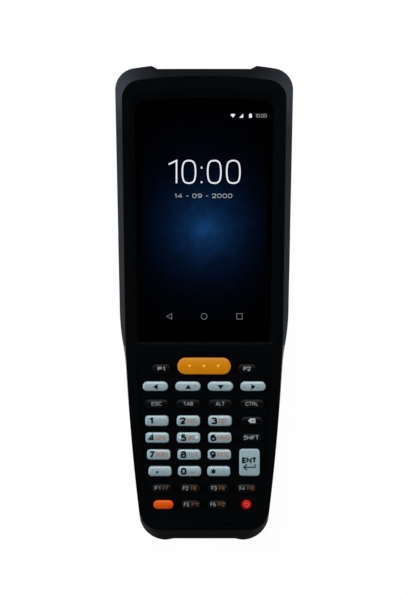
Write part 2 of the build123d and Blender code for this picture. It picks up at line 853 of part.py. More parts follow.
def make_contacts():
    """Spring-pin block between the main board and the battery."""
    with BuildPart() as contacts:
        add(contact_body())
        with BuildSketch(Plane.XY.offset(battery_top_z + contact_clear)):
            with Locations((0, contact_middle)):
                with GridLocations(contact_pitch, 1, contact_pins, 1):
                    Circle(contact_pin_radius)
        extrude(amount=battery_gap)
    return contacts.part


# ---- Boards, chassis and display ---------------------------------------------------------------
def make_main_board():
    """The main board, its tail tongue under the port, with shield cans and larger chips on top."""
    edge = [
        (circuit_half, head - circuit_head_gap),
        (circuit_half, tail + circuit_taper_gap),
        (circuit_shoulder_half, tail + circuit_shoulder_gap),
        (circuit_tongue_half, tail + circuit_shoulder_gap),
        (circuit_tongue_half, tail + circuit_tail_gap),
    ]
    with BuildPart() as main_board:
        with BuildSketch(Plane.XY.offset(circuit_z)):
            with BuildLine():
                Polyline(*edge, *[(-x, y) for x, y in reversed(edge)], close=True)
            make_face()
        extrude(amount=circuit_thick)
        for x, above_bay, across, along, high in chips:
            y = bay_top + above_bay
            add(block((x - across / 2, x + across / 2), (y - along / 2, y + along / 2),
                      (circuit_top, circuit_top + high)))
    return main_board.part


def make_chassis():
    """Cast frame that carries the display and the keypad board and clamps the main board."""
    edge = [
        (chassis_half, head - chassis_head_gap),
        (chassis_half, panel_top),
        (chassis_tail_half, tail + chassis_tail_gap),
    ]
    pad_half = display_width / 2 - display_pad_inset
    ear_in, ear_out = display_width / 2 + ear_gap, chassis_half + ear_width
    with BuildPart() as chassis:
        with BuildSketch(Plane.XY.offset(chassis_z)):
            with BuildLine():
                Polyline(*edge, *[(-x, y) for x, y in reversed(edge)], close=True)
            make_face()
            with Locations(*((0, y) for y in ear_spots)):
                Rectangle(2 * ear_out, ear_length)
        extrude(amount=chassis_thick)
        add(block((-pad_half, pad_half),
                  (display_bottom + display_pad_inset, display_top - display_pad_inset),
                  (chassis_top, display_bottom_z)))
        for y in ear_spots:
            for hand in (-1, 1):
                add(block((hand * ear_in, hand * ear_out), (y - ear_length / 2, y + ear_length / 2),
                          (chassis_top, ledge_bottom)))
        add(upright(clamp_spots, clamp_radius, (circuit_top, chassis_z)))
    return chassis.part


def make_keypad_board():
    """The keypad's board, with a metal dome under each key."""
    with BuildPart() as keypad_board:
        extrude(panel_outline(board_z, mat_inset), amount=board_thick)
        add(upright(key_centres, dome_radius, (board_top, board_top + dome_thick)))
    return keypad_board.part


def make_keypad_mat():
    """Silicone mat under the keys. Its rim stands on the board and seals against the deck."""
    with BuildPart() as keypad_mat:
        add(prism(panel_outline(board_top, mat_inset + mat_rim), (board_top, deck_z),
                  panel_outline(board_top, mat_inset)))
        add(prism(panel_outline(mat_z, mat_inset), (mat_z, mat_top)))
        add(upright(key_centres, post_radius + post_gap, (mat_z, mat_top)), mode=Mode.SUBTRACT)
    return keypad_mat.part


def make_display_window():
    with BuildPart() as display_window:
        extrude(window_outline(glass_bottom, -window_gap, -window_gap, -window_gap), amount=window_thick)
        chamfer(display_window.faces().sort_by(Axis.Z)[-1].edges(), window_chamfer)
    return display_window.part


def make_window_adhesive():
    inset = (-adhesive_inset, -adhesive_inset, -adhesive_inset)
    return prism(window_outline(ledge_top, *inset), (ledge_top, glass_bottom))


def make_display():
    half_across = display_width / 2
    return block((-half_across, half_across), (display_bottom, display_top), (display_bottom_z, ledge_top))


# ---- Scanner, sound and port -------------------------------------------------------------------
def make_scan_window():
    back = Plane(origin=(0, scan_window_back, scan_window_z), x_dir=(1, 0, 0), z_dir=(0, 1, 0))
    with BuildPart() as scan_window:
        with BuildSketch(back):
            RectangleRounded(2 * scan_half, scan_height, scan_window_corner)
        extrude(amount=scan_window_thick)
        chamfer(scan_window.faces().sort_by(Axis.Y)[-1].edges(), scan_window_chamfer)
    return scan_window.part


def make_scan_engine():
    """Imager: camera barrel in the middle, aimer and lamp barrels at its sides."""
    across, deep, high = engine_size
    front = Plane(origin=(0, engine_front, scan_window_z), x_dir=(1, 0, 0), z_dir=(0, 1, 0))
    with BuildPart() as scan_engine:
        add(block((-across / 2, across / 2), (engine_front - deep, engine_front),
                  (engine_z, engine_z + high)))
        with BuildSketch(front.offset(-engine_lens_depth)):
            Circle(engine_lens_radius)
            with Locations((-engine_lamp_spacing, 0), (engine_lamp_spacing, 0)):
                Circle(engine_lamp_radius)
        extrude(amount=engine_lens_depth, mode=Mode.SUBTRACT)
        with BuildSketch(front.offset(-engine_lens_depth)):
            Circle(engine_barrel_radius)
        extrude(amount=engine_lens_depth / 2)
    return scan_engine.part


def make_loudspeaker():
    across, along, high = speaker_size
    with BuildPart() as loudspeaker:
        with BuildSketch(Plane.XY.offset(floor)):
            with Locations((0, bay_top + speaker_above_bay)):
                RectangleRounded(across, along, speaker_corner)
        extrude(amount=high)
    return loudspeaker.part


def make_motor():
    return upright([motor_spot], motor_radius, (floor, floor + motor_thick))


def make_microphone():
    x, y = microphone_spot
    across, along, high = microphone_size
    y += microphone_shift
    return block((x - across / 2, x + across / 2), (y - along / 2, y + along / 2), (deck_z - high, deck_z))


def make_usb():
    """Port with its tongue, hung under the main board."""
    across, deep, high = usb_size
    mouth = Plane(origin=(0, usb_mouth, usb_z), x_dir=(1, 0, 0), z_dir=(0, 1, 0))
    with BuildPart() as usb:
        with BuildSketch(mouth):
            SlotOverall(across, high)
        extrude(amount=deep)
        with BuildSketch(mouth):
            SlotOverall(across - 2 * usb_shell, high - 2 * usb_shell)
        extrude(amount=deep - usb_back, mode=Mode.SUBTRACT)
        with BuildSketch(mouth.offset(deep - usb_back - usb_tongue[1])):
            Rectangle(usb_tongue[0], usb_tongue[2])
        extrude(amount=usb_tongue[1])
    return usb.part


# ---- Everything, written out -------------------------------------------------------------------
rubber_bumpers = make_rubber()
housing_seal = make_seal()
strap_bars = make_strap_bars()
pieces = {
    "front_housing": make_front_housing(rubber_bumpers, housing_seal),
    "rear_housing": make_rear_housing(housing_seal, strap_bars),
    "rubber_bumpers": rubber_bumpers,
    "housing_seal": housing_seal,
    "housing_screws": make_screws(),
    "strap_bars": strap_bars,
    "display_window": make_display_window(),
    "window_adhesive": make_window_adhesive(),
    "display_module": make_display(),
    "keypad_mat": make_keypad_mat(),
    "keypad_board": make_keypad_board(),
    "chassis": make_chassis(),
    "main_board": make_main_board(),
    "scan_engine": make_scan_engine(),
    "scan_window": make_scan_window(),
    "loudspeaker": make_loudspeaker(),
    "vibration_motor": make_motor(),
    "microphone": make_microphone(),
    "usb_connector": make_usb(),
    "battery_contacts": make_contacts(),
    "battery_case": make_battery_case(),
    "battery_cells": make_battery_cells(),
    "battery_latch_left": make_latch(-1),
    "battery_latch_right": make_latch(1),
    "scan_button_left": make_scan_button(-1),
    "scan_button_right": make_scan_button(1),
}
for key in keys:
    pieces[key[0]] = make_key(*key)

os.makedirs("parts", exist_ok=True)
for name, piece in pieces.items():
    piece.label = name
    export_step(piece, f"parts/{name}.step")
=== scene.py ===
"""Looks for a handheld barcode data terminal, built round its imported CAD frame.

The terminal lies on its back: X to the right, Y from the tail to the head, Z out of the screen.
Sizes are written in millimetres and turned into metres where a mesh or a node takes them.
"""

import math

import bmesh
import bpy
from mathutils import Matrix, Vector


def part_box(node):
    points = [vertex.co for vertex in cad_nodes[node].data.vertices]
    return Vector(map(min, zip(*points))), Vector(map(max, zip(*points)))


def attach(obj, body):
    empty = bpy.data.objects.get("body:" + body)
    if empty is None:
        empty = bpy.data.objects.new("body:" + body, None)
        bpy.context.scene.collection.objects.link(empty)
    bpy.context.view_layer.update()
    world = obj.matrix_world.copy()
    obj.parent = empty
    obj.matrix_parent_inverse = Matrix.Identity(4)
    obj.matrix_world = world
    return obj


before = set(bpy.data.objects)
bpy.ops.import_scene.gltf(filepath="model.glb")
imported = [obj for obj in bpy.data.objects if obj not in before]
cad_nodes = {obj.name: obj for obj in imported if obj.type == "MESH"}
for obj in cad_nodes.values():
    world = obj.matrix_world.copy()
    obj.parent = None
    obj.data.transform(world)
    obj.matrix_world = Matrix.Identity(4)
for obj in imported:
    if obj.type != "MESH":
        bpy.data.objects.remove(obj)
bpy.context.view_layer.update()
mm = 0.001

# ---- Camera --------------------------------------------------------------------------------------
# A long lens on a copy stand, square above the face and a little off its middle, so that the
# terminal is seen almost without perspective.
camera_above = 2.2  # metres
camera_aim = Vector((-1.317, 1.191, 27.0)) * mm
camera_field = 250.8 * mm  # height of the picture at the face
camera_sensor = 24.0

camera = bpy.data.objects.new("camera", bpy.data.cameras.new("camera"))
camera.data.sensor_fit = "VERTICAL"
camera.data.sensor_height = camera_sensor
camera.data.lens = camera_sensor * camera_above / camera_field
camera.data.clip_end = 20.0
camera.location = camera_aim + Vector((0, 0, camera_above))
bpy.context.scene.collection.objects.link(camera)
bpy.context.scene.camera = camera


# ---- Rear shell ----------------------------------------------------------------------------------
# Injection-moulded polycarbonate blend, dark grey, with a fine spark-eroded grain on the outside.
# Six screws pull it against the front shell over a soft gasket.
def add_node(tree, kind, inputs=None, **settings):
    """One node. Its inputs are constants or other nodes' output sockets."""
    made = tree.nodes.new(kind)
    for setting, value in settings.items():
        setattr(made, setting, value)
    for socket, value in (inputs or {}).items():
        if isinstance(value, bpy.types.NodeSocket):
            tree.links.new(value, made.inputs[socket])
        else:
            made.inputs[socket].default_value = value
    return made


def new_finish(name):
    """An empty material, its node tree, and the place on the piece that a pattern follows."""
    material = bpy.data.materials.new(name)
    material.use_nodes = True
    tree = material.node_tree
    tree.nodes.clear()
    return material, tree, add_node(tree, "ShaderNodeTexCoord").outputs["Object"]


def skin(tree, inputs):
    """Covers the piece with one shader of the given inputs."""
    shader = add_node(tree, "ShaderNodeBsdfPrincipled", inputs)
    add_node(tree, "ShaderNodeOutputMaterial", {0: shader.outputs[0]})


def cloudy(tree, place, size, detail=3.0, roughness=0.55):
    """Soft random blotches of the given size in millimetres."""
    inputs = {"Vector": place, "Scale": 1 / (size * mm), "Detail": detail, "Roughness": roughness}
    return add_node(tree, "ShaderNodeTexNoise", inputs).outputs["Fac"]


def spread(tree, value, low, high, start=0.3, end=0.7):
    """value, taken from start..end to low..high."""
    inputs = {"Value": value, "From Min": start, "From Max": end, "To Min": low, "To Max": high}
    return add_node(tree, "ShaderNodeMapRange", inputs).outputs["Result"]


def scaled(tree, vector, factor):
    """A colour or another vector, times a factor."""
    inputs = {0: vector, "Scale": factor}
    return add_node(tree, "ShaderNodeVectorMath", inputs, operation="SCALE").outputs["Vector"]


def tint(tree, colour, shade, amount):
    """colour, made lighter and darker by shade, which lies round a half."""
    return scaled(tree, colour, spread(tree, shade, 1 - amount, 1 + amount))


def relief(tree, height, depth, strength=1.0, under=None):
    """Surface relief of the given depth in millimetres, on top of another relief if there is one."""
    inputs = {"Height": height, "Distance": depth * mm, "Strength": strength}
    if under is not None:
        inputs["Normal"] = under
    return add_node(tree, "ShaderNodeBump", inputs).outputs["Normal"]


def grained(name, colour, rough, gloss, grain=0.35, depth=0.012, blotch=0.10):
    """Moulded plastic or rubber: an even colour with faint flow marks and a fine eroded grain."""
    material, tree, place = new_finish(name)
    flow = cloudy(tree, place, 18.0)
    pits = cloudy(tree, place, grain, detail=2.0)
    coarse = cloudy(tree, place, 4 * grain, detail=2.0)
    skin(tree, {
        "Base Color": tint(tree, tint(tree, colour, flow, blotch), pits, blotch),
        "Roughness": spread(tree, pits, rough - 0.05, rough + 0.06),
        "Specular IOR Level": gloss,
        "Normal": relief(tree, pits, depth, under=relief(tree, coarse, depth)),
    })
    return material


def dress(material, *names):
    """Gives CAD nodes their finish."""
    for name in names:
        cad_nodes[name].data.materials.clear()
        cad_nodes[name].data.materials.append(material)


dress(grained("rear_shell_plastic", (0.0065, 0.0070, 0.0080), 0.5, 0.12), "rear_housing")


# ---- Front shell ---------------------------------------------------------------------------------
# The same blend in black, with a finer satin grain. What lies below the face, such as the keypad
# panel and the sloping frame round the glass, is polished a little smoother.
face_colour = (0.0016, 0.0021, 0.0027)
face_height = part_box("front_housing")[1].z
panel_polish = 0.08  # taken off the roughness below the face


def maths(tree, kind, first, second=0.0):
    return add_node(tree, "ShaderNodeMath", {0: first, 1: second}, operation=kind).outputs[0]


def part_of(tree, place, axis):
    """One coordinate of a place."""
    return add_node(tree, "ShaderNodeSeparateXYZ", {0: place}).outputs[axis]


def face_plastic():
    material, tree, place = new_finish("front_shell_plastic")
    pits = cloudy(tree, place, 0.22, detail=2.0)
    flow = cloudy(tree, place, 22.0)
    height = part_of(tree, place, "Z")
    sunk = spread(tree, height, 1.0, 0.0, face_height - 0.3 * mm, face_height - 0.1 * mm)
    polish = spread(tree, sunk, 0.0, panel_polish, 0.0, 1.0)
    skin(tree, {
        "Base Color": tint(tree, tint(tree, face_colour, flow, 0.08), pits, 0.10),
        "Roughness": maths(tree, "SUBTRACT", spread(tree, pits, 0.34, 0.42), polish),
        "Specular IOR Level": 0.035,
        "Normal": relief(tree, pits, 0.006),
    })
    return material


dress(face_plastic(), "front_housing")

# ---- Rubber guards -------------------------------------------------------------------------------
# Thermoplastic rubber moulded over the front shell's edge, matt and near black: one band round the
# head and down the sides, and one round the tail's corners. Its colour holds painted light: lighter
# along the sides, darker in the middle of the head and tail as painted shade, and a painted highlight
# at the head's corners.
guard_colour = (0.0068, 0.0082, 0.0100)
guard_half = 34.0  # middle to the sides' painted light, at its full
middle_painted_shade, side_painted_light = 0.60, 1.50  # shares of the colour: painted shade in the middle, painted light at the sides
side_fall = 8.0  # width over which the sides' painted light sets in
corner_y = 89.0
corner_highlight_share = 2.2  # share of the colour that is added at the head's corners as a painted highlight
corner_core, corner_reach = 2.0, 17.0  # where it is full, and where it ends


def distance(tree, place, point):
    inputs = {0: place, 1: point}
    return add_node(tree, "ShaderNodeVectorMath", inputs, operation="DISTANCE").outputs["Value"]


def guard_rubber():
    material, tree, place = new_finish("guard_rubber")
    # Painted light: the colour is scaled up along the sides and down in the middle as painted shade, and a
    # painted highlight is added at the head's corners.
    across = maths(tree, "ABSOLUTE", part_of(tree, place, "X"))
    side = spread(tree, across, middle_painted_shade, side_painted_light, (guard_half - side_fall) * mm, guard_half * mm)
    folded = add_node(tree, "ShaderNodeCombineXYZ", {0: across, 1: part_of(tree, place, "Y")}).outputs[0]
    corner = distance(tree, folded, (guard_half * mm, corner_y * mm, 0.0))
    corner_highlight = spread(tree, corner, corner_highlight_share, 0.0, corner_core * mm, corner_reach * mm)
    pits = cloudy(tree, place, 0.28, detail=2.0)
    even = tint(tree, tint(tree, guard_colour, cloudy(tree, place, 18.0), 0.10), pits, 0.10)
    waves = relief(tree, cloudy(tree, place, 1.1, detail=2.0), 0.015)
    skin(tree, {
        "Base Color": scaled(tree, even, maths(tree, "ADD", side, corner_highlight)),
        "Roughness": spread(tree, pits, 0.53, 0.64),
        "Specular IOR Level": 0.012,
        "Sheen Weight": 0.015,
        "Normal": relief(tree, pits, 0.015, under=waves),
    })
    return material


dress(guard_rubber(), "rubber_bumpers")

# ---- Gasket and window tape ----------------------------------------------------------------------
# A flat ring of soft black rubber lies in the joint between the shells, and foam tape holds the
# glass in its pocket.
dress(grained("gasket_rubber", (0.012, 0.012, 0.012), 0.7, 0.3, grain=0.2), "housing_seal")
dress(grained("foam_tape", (0.010, 0.010, 0.011), 0.85, 0.2, grain=0.12, depth=0.05), "window_adhesive")

# ---- Screws and strap bars -----------------------------------------------------------------------
# Six black-coated pan-head screws sit in deep counterbores in the back. Two round steel bars, let
# into the walls of their recesses, take the ends of a hand strap.
def turned_steel(name, colour, rough, lay=(1.0, 1.0, 14.0)):
    """Machined metal: fine tool marks that run one way, stretched by lay."""
    material, tree, place = new_finish(name)
    stretched = add_node(tree, "ShaderNodeMapping", {"Vector": place, "Scale": lay}).outputs["Vector"]
    marks = cloudy(tree, stretched, 0.5, detail=4.0, roughness=0.7)
    skin(tree, {
        "Base Color": tint(tree, colour, cloudy(tree, place, 3.0), 0.12),
        "Metallic": 1.0,
        "Roughness": spread(tree, marks, rough - 0.07, rough + 0.10),
        "Normal": relief(tree, marks, 0.004),
    })
    return material


dress(turned_steel("coated_steel", (0.16, 0.16, 0.17), 0.36), "housing_screws")
dress(turned_steel("bar_steel", (0.42, 0.42, 0.43), 0.30, lay=(0.2, 6.0, 6.0)), "strap_bars")

# ---- Cover glass and display ---------------------------------------------------------------------
# Chemically hardened glass with a black printed border, bonded over a lit panel. The panel shows a
# plain home screen: a soft blue glow, the time, a row of numbers and three outlined buttons.
screen_half = 26.1
screen_foot, screen_top = -7.1, 80.0
glow_centre = (0.36, 30.45)
glow_colour = (0.045, 0.29, 1.0)
glow_level = 0.150
glow_reach = 8.7  # distance over which the glow falls to a third
glow_foot = 0.45  # share of the glow that is left at the foot of the screen
glow_side = 0.6  # share that is left at its sides
glow_mottle = 0.25
glass_colour = (0.0002, 0.0002, 0.0003, 1)
glass_skin = 0.01  # the glass shows the screen on its outer face, down to this depth
glass_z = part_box("display_window")[1].z / mm


def cover_glass():
    material, tree, place = new_finish("cover_glass")
    across = maths(tree, "ABSOLUTE", part_of(tree, place, "X"))
    along, height = part_of(tree, place, "Y"), part_of(tree, place, "Z")
    away = distance(tree, place, tuple(axis * mm for axis in (*glow_centre, glass_z)))
    fall = maths(tree, "EXPONENT", maths(tree, "MULTIPLY", away, -1 / (glow_reach * mm)))
    blotches = cloudy(tree, place, 5.0, detail=5.0)
    shares = [
        maths(tree, "MULTIPLY", fall, glow_level),
        spread(tree, blotches, 1 - glow_mottle, 1 + glow_mottle),
        spread(tree, along, glow_foot, 1.0, screen_foot * mm, glow_centre[1] * mm),
        spread(tree, across, 1.0, glow_side, screen_half / 2 * mm, screen_half * mm),
        maths(tree, "LESS_THAN", across, screen_half * mm),
        maths(tree, "GREATER_THAN", along, screen_foot * mm),
        maths(tree, "LESS_THAN", along, screen_top * mm),
        maths(tree, "GREATER_THAN", height, (glass_z - glass_skin) * mm),
    ]
    haze = shares[0]
    for share in shares[1:]:
        haze = maths(tree, "MULTIPLY", haze, share)
    skin(tree, {
        "Base Color": glass_colour,
        "Roughness": spread(tree, cloudy(tree, place, 9.0, detail=4.0), 0.05, 0.11),
        "Specular IOR Level": 0.5,
        "Emission Color": (*glow_colour, 1),
        "Emission Strength": haze,
    })
    return material


def flat_panel():
    """The display panel behind the glass, with its fine columns of dots."""
    material, tree, place = new_finish("display_panel")
    columns = add_node(tree, "ShaderNodeTexWave", {"Vector": place, "Scale": 900.0}, bands_direction="X")
    skin(tree, {
        "Base Color": tint(tree, (0.006, 0.008, 0.012), columns.outputs["Fac"], 0.2),
        "Roughness": spread(tree, cloudy(tree, place, 3.0), 0.22, 0.32),
    })
    return material


dress(cover_glass(), "display_window")
dress(flat_panel(), "display_module")

# ---- Screen marks --------------------------------------------------------------------------------
# What the lit panel shows, as thin shapes on the glass: status icons, the time in thin figures,
# the row of numbers and the three outlined buttons along the foot.
mark_depth = 0.02  # how far the shapes reach into the glass and out of it
mark_low, mark_high = glass_z - mark_depth, glass_z + mark_depth
layer = 0.002  # strokes that cross lie this much over each other, so that no two faces coincide
clock = {"centre": (0.05, 54.7), "height": 10.05, "width": 30.4, "thick": 0.64}
date_row = {"centre": (-0.35, 44.7), "height": 1.75, "width": 24.1, "thick": 0.21}
corner_clock = {"centre": (23.8, 78.15), "height": 1.55, "width": 4.7, "thick": 0.13}
icon_foot = 77.3
fan_x, fan_radius, fan_angles = 12.0, 1.65, (128, 52)
signal = [(14.6, 0.0), (16.3, 0.0), (16.3, 1.7)]
cell = [(18.75, 0.0), (19.95, 0.0), (19.95, 1.5), (19.6, 1.5),
        (19.6, 1.75), (19.1, 1.75), (19.1, 1.5), (18.75, 1.5)]
button_thick = 0.25
back_button = [(-13.55, -6.8), (-13.55, -4.5), (-15.65, -5.65)]
home_y, home_radius = -5.65, 1.22
square_button = (13.6, -6.8, 2.3, 2.3)
dot_pitch = 0.11


def slab(shape, low, high, outline):
    """Adds an upright slab with a convex or concave outline to a bmesh. Millimetres."""
    rings = [[shape.verts.new((x * mm, y * mm, z * mm)) for x, y in outline] for z in (low, high)]
    shape.faces.new(rings[0][::-1])
    shape.faces.new(rings[1])
    count = len(outline)
    for i in range(count):
        j = (i + 1) % count
        shape.faces.new((rings[0][i], rings[0][j], rings[1][j], rings[1][i]))


def stroke(shape, low, high, path, thick, closed=False):
    """Adds a line of even thickness along a path, mitred at its corners, as one closed strip."""
    points = [Vector(point) for point in path]
    count = len(points)
    rings = []
    for i, point in enumerate(points):
        before = points[i - 1] if i or closed else None
        after = points[(i + 1) % count] if i < count - 1 or closed else None
        runs = [(b - a).normalized() for a, b in ((before, point), (point, after)) if a and b]
        normals = [Vector((-run.y, run.x)) for run in runs]
        mitre = sum(normals, Vector((0, 0))).normalized()
        reach = mitre * min(thick / 2 / mitre.dot(normals[0]), thick)
        left, right = point - reach, point + reach
        corners = [(left, low), (right, low), (right, high), (left, high)]

        rings.append([shape.verts.new((spot.x * mm, spot.y * mm, z * mm)) for spot, z in corners])
    for i in range(count if closed else count - 1):
        here, there = rings[i], rings[(i + 1) % count]
        for k in range(4):
            n = (k + 1) % 4
            shape.faces.new((here[k], here[n], there[n], there[k]))
    if not closed:
        shape.faces.new(rings[0][::-1])
        shape.faces.new(rings[-1])


def arc(centre, radius, start, end, steps=20):
    """Points on an arc, its angles in degrees."""
    angles = [math.radians(start + (end - start) * i / steps) for i in range(steps + 1)]
    return [(centre[0] + radius * math.cos(a), centre[1] + radius * math.sin(a)) for a in angles]


# A plain face of even strokes, nine units high: each letter's width, then its strokes. A stroke that
# starts with ~ is rounded at its corners, and one that starts with o is a rounded loop. The thin
# one, i, is the clock's.

type_height = 9.0
type_gap = 2.3
type_face = {
    "0": (5.2, "o 1,0 4.2,0 5.2,2.2 5.2,6.8 4.2,9 1,9 0,6.8 0,2.2"),
    "1": (2.0, "0.3,7.2 2,9 2,0"),
    "2": (5.4, "~ 0,6.6 0,9 5.4,9 5.4,5.4 0,0/0,0 5.6,0"),
    "3": (5.4, "~ 0,7.4 0,9 5,9 5,5 2,5/~ 2,5 5.4,5 5.4,0 0,0 0,1.7"),
    "4": (6.2, "4.5,0 4.5,9 0,2.2 6.2,2.2"),
    "5": (5.4, "5,9 0.7,9 0.4,4.9/~ 0.4,4.9 5.4,5.8 5.4,0 0,0 0,1.6"),
    "6": (5.4, "~ 4.6,9 0,8 0,0 5.4,0 5.4,5.6 0,5.6 0,3"),
    "7": (5.4, "0,9 5.4,9 1.6,0"),
    "8": (5.4, "o 0.4,4.9 5,4.9 5,9 0.4,9/o 0,0 5.4,0 5.4,4.9 0,4.9"),
    "9": (5.4, "~ 0.8,0 5.4,1 5.4,9 0,9 0,3.4 5.4,3.4 5.4,6"),
    "A": (7.0, "0,0 3.5,9 7,0/1.2,3 5.8,3"),
    "B": (5.4, "0,0 0,9/~ 0,9 5,9 5,5 0,5/~ 0,5 5.4,5 5.4,0 0,0"),
    "C": (6.0, "~ 6,7 5.6,9 0,9 0,0 5.6,0 6,2"),
    "D": (6.2, "0,0 0,9/~ 0,9 6.2,9 6.2,0 0,0"),
    "E": (4.8, "4.8,9 0,9 0,0 4.8,0/0,4.7 4.2,4.7"),
    "F": (4.8, "4.8,9 0,9 0,0/0,4.6 4.2,4.6"),
    "G": (6.4, "~ 6.2,7 5.8,9 0,9 0,0 6.4,0 6.4,4.2/6.4,4.2 3.6,4.2"),
    "H": (6.0, "0,0 0,9/6,9 6,0/0,4.7 6,4.7"),
    "I": (0.4, "0.2,0 0.2,9"),
    "i": (3.1, "0,7.5 3.1,9 3.1,0"),
    "J": (4.4, "~ 4.4,9 4.4,3 4.4,0 0,0 0,2.4"),
    "K": (6.0, "0,0 0,9/5.6,9 0,3.6/2,5.4 6,0"),
    "L": (4.6, "0,9 0,0 4.6,0"),
    "M": (8.0, "0,0 0,9 4,3 8,9 8,0"),
    "N": (6.2, "0,0 0,9 6.2,0 6.2,9"),
    "O": (7.0, "o 0,0 7,0 7,9 0,9"),
    "P": (5.4, "0,0 0,9/~ 0,9 5.4,9 5.4,4.2 0,4.2"),
    "Q": (7.0, "o 0,0 7,0 7,9 0,9/4.4,2.6 7,0"),
    "R": (5.8, "0,0 0,9/~ 0,9 5.4,9 5.4,4.2 0,4.2/3,4.2 5.8,0"),
    "S": (5.4, "~ 5.2,7.2 5,9 0,9 0,4.8 5.4,4.6 5.4,0 0.2,0 0,1.8"),
    "T": (6.0, "0,9 6,9/3,9 3,0"),
    "U": (6.0, "~ 0,9 0,3.6 0,0 6,0 6,3.6 6,9"),
    "V": (7.0, "0,9 3.5,0 7,9"),
    "W": (9.4, "0,9 2.3,0 4.7,8.4 7.1,0 9.4,9"),
    "X": (6.2, "0,0 6.2,9/0,9 6.2,0"),
    "Y": (6.4, "0,9 3.2,4.4 6.4,9/3.2,4.4 3.2,0"),
    "Z": (6.0, "0,9 6,9 0,0 6,0"),
    ":": (0.2, "0.1,0 0.1,0.75/0.1,5.8 0.1,6.55"),
    "-": (3.2, "0,4.2 3.2,4.2"),
    " ": (1.2, ""),
}


def rounded(path, closed):
    """The path with its corners cut off three times over, which makes a smooth curve of it."""
    for _ in range(3):
        ends = [] if closed else [path[-1]]
        cut = [] if closed else [path[0]]
        for (ax, ay), (bx, by) in zip(path, path[1:] + path[:1] if closed else path[1:]):
            cut += [((3 * ax + bx) / 4, (3 * ay + by) / 4), ((ax + 3 * bx) / 4, (ay + 3 * by) / 4)]
        path = cut + ends
    return path


def letters(shape, low, high, text, centre, height, width, thick):
    """Adds text in strokes of even thickness, fitted to a height and a width round a centre."""
    left = 0.0
    strokes = []
    for letter in text:
        across, drawing = type_face[letter]
        for run in drawing.split("/") if drawing else []:
            path = [tuple(float(part) for part in point.split(",")) for point in run.strip("~o ").split()]
            if run[0] in "~o":
                path = rounded(path, run[0] == "o")
            strokes.append((run[0] == "o", [(left + x, y) for x, y in path]))
        left += across + type_gap
    span = left - type_gap
    wide, tall = (width - thick) / max(span, 1.0), (height - thick) / type_height
    corner = centre[0] - span / 2 * wide, centre[1] - type_height / 2 * tall
    for order, (closed, path) in enumerate(strokes):
        placed = [(corner[0] + x * wide, corner[1] + y * tall) for x, y in path]
        stroke(shape, low, high + order % 3 * layer, placed, thick, closed)


def show(name, mesh, material, body):
    """Puts a finished mesh in the scene, riding on its body."""
    mesh.materials.append(material)
    piece = bpy.data.objects.new(name, mesh)
    bpy.context.scene.collection.objects.link(piece)
    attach(piece, body)
    return piece


def close_shape(shape, name):
    """Turns a bmesh into a mesh with its doubles merged and its faces outward."""
    bmesh.ops.remove_doubles(shape, verts=shape.verts, dist=0.001 * mm)
    bmesh.ops.recalc_face_normals(shape, faces=shape.faces)
    mesh = bpy.data.meshes.new(name)
    shape.to_mesh(mesh)
    shape.free()
    return mesh


def oblong(x, y, wide, tall):
    """The outline of a rectangle from its low left corner."""
    return [(x, y), (x + wide, y), (x + wide, y + tall), (x, y + tall)]


def lit_mark(name, level):
    """Dots lit at a level, with the panel's fine grid."""
    material, tree, place = new_finish(name)
    grid = add_node(tree, "ShaderNodeTexChecker", {"Vector": place, "Scale": 1 / (dot_pitch * mm)})
    skin(tree, {
        "Base Color": (0.01, 0.01, 0.01, 1),
        "Roughness": 0.3,
        "Emission Color": (0.93, 0.96, 1.0, 1),
        "Emission Strength": spread(tree, grid.outputs["Fac"], 0.92 * level, level, 0.0, 1.0),
    })
    return material


bright_marks, date_marks, dim_marks = bmesh.new(), bmesh.new(), bmesh.new()
letters(bright_marks, mark_low, mark_high, "i0:00", **clock)
slab(bright_marks, mark_low, mark_high,
     [(fan_x, icon_foot)] + arc((fan_x, icon_foot), fan_radius, *fan_angles))
for icon in (signal, cell):
    slab(bright_marks, mark_low, mark_high, [(x, icon_foot + y) for x, y in icon])
letters(date_marks, mark_low, mark_high, "14 - 09 - 2000", **date_row)
letters(date_marks, mark_low, mark_high, "10:00", **corner_clock)
for path in (back_button, arc((0, home_y), home_radius, 0, 350, 35), oblong(*square_button)):
    stroke(dim_marks, mark_low, mark_high, path, button_thick, closed=True)
for name, marks, finish, level in (("screen_time", bright_marks, "screen_white", 0.9),
                                   ("screen_date", date_marks, "screen_pale", 0.5),
                                   ("screen_buttons", dim_marks, "screen_grey", 0.16)):
    show(name, close_shape(marks, name), lit_mark(finish, level), "casing")


# ---- Keys ----------------------------------------------------------------------------------------
# Hard caps of moulded polycarbonate with a satin top, each on its own flange under the face: pale
# figure keys, black function keys, an amber scan key, an orange shift key and a red power key.
nub_rise = 0.28
nub_blend = 0.1  # height over which a nub's painted highlight fades in
nub_highlight_share = 0.8  # share of the painted highlight's lighter colour at its top
scan_unpainted, five_unpainted = 0.03, 0.09  # height of a nub's foot below which there is no painted highlight


def cap_plastic(name, colour, rough=0.33, gloss=0.5, nub_foot=None, nub_highlight_colour=None):
    """A satin cap. Handling has polished its top a little in soft patches, and a nub's top gets a painted
    highlight.
    """
    material, tree, place = new_finish(name)
    patches = cloudy(tree, place, 3.5)
    pits = cloudy(tree, place, 0.15, detail=2.0)
    colours = tint(tree, tint(tree, colour, patches, 0.04), pits, 0.04)
    if nub_foot:
        # Painted highlight: above nub_foot the cap's colour is mixed towards a lighter one.
        height = part_of(tree, place, "Z")
        nub_highlight = spread(tree, height, 0.0, nub_highlight_share, nub_foot * mm, (nub_foot + nub_blend) * mm)
        colours = add_node(tree, "ShaderNodeMix", {"Factor": nub_highlight, "A": colours, "B": (*nub_highlight_colour, 1)},
                           data_type="RGBA").outputs["Result"]
    skin(tree, {
        "Base Color": colours,
        "Roughness": spread(tree, patches, rough - 0.03, rough + 0.03),
        "Specular IOR Level": gloss,
        "Normal": relief(tree, pits, 0.004),
    })
    return material


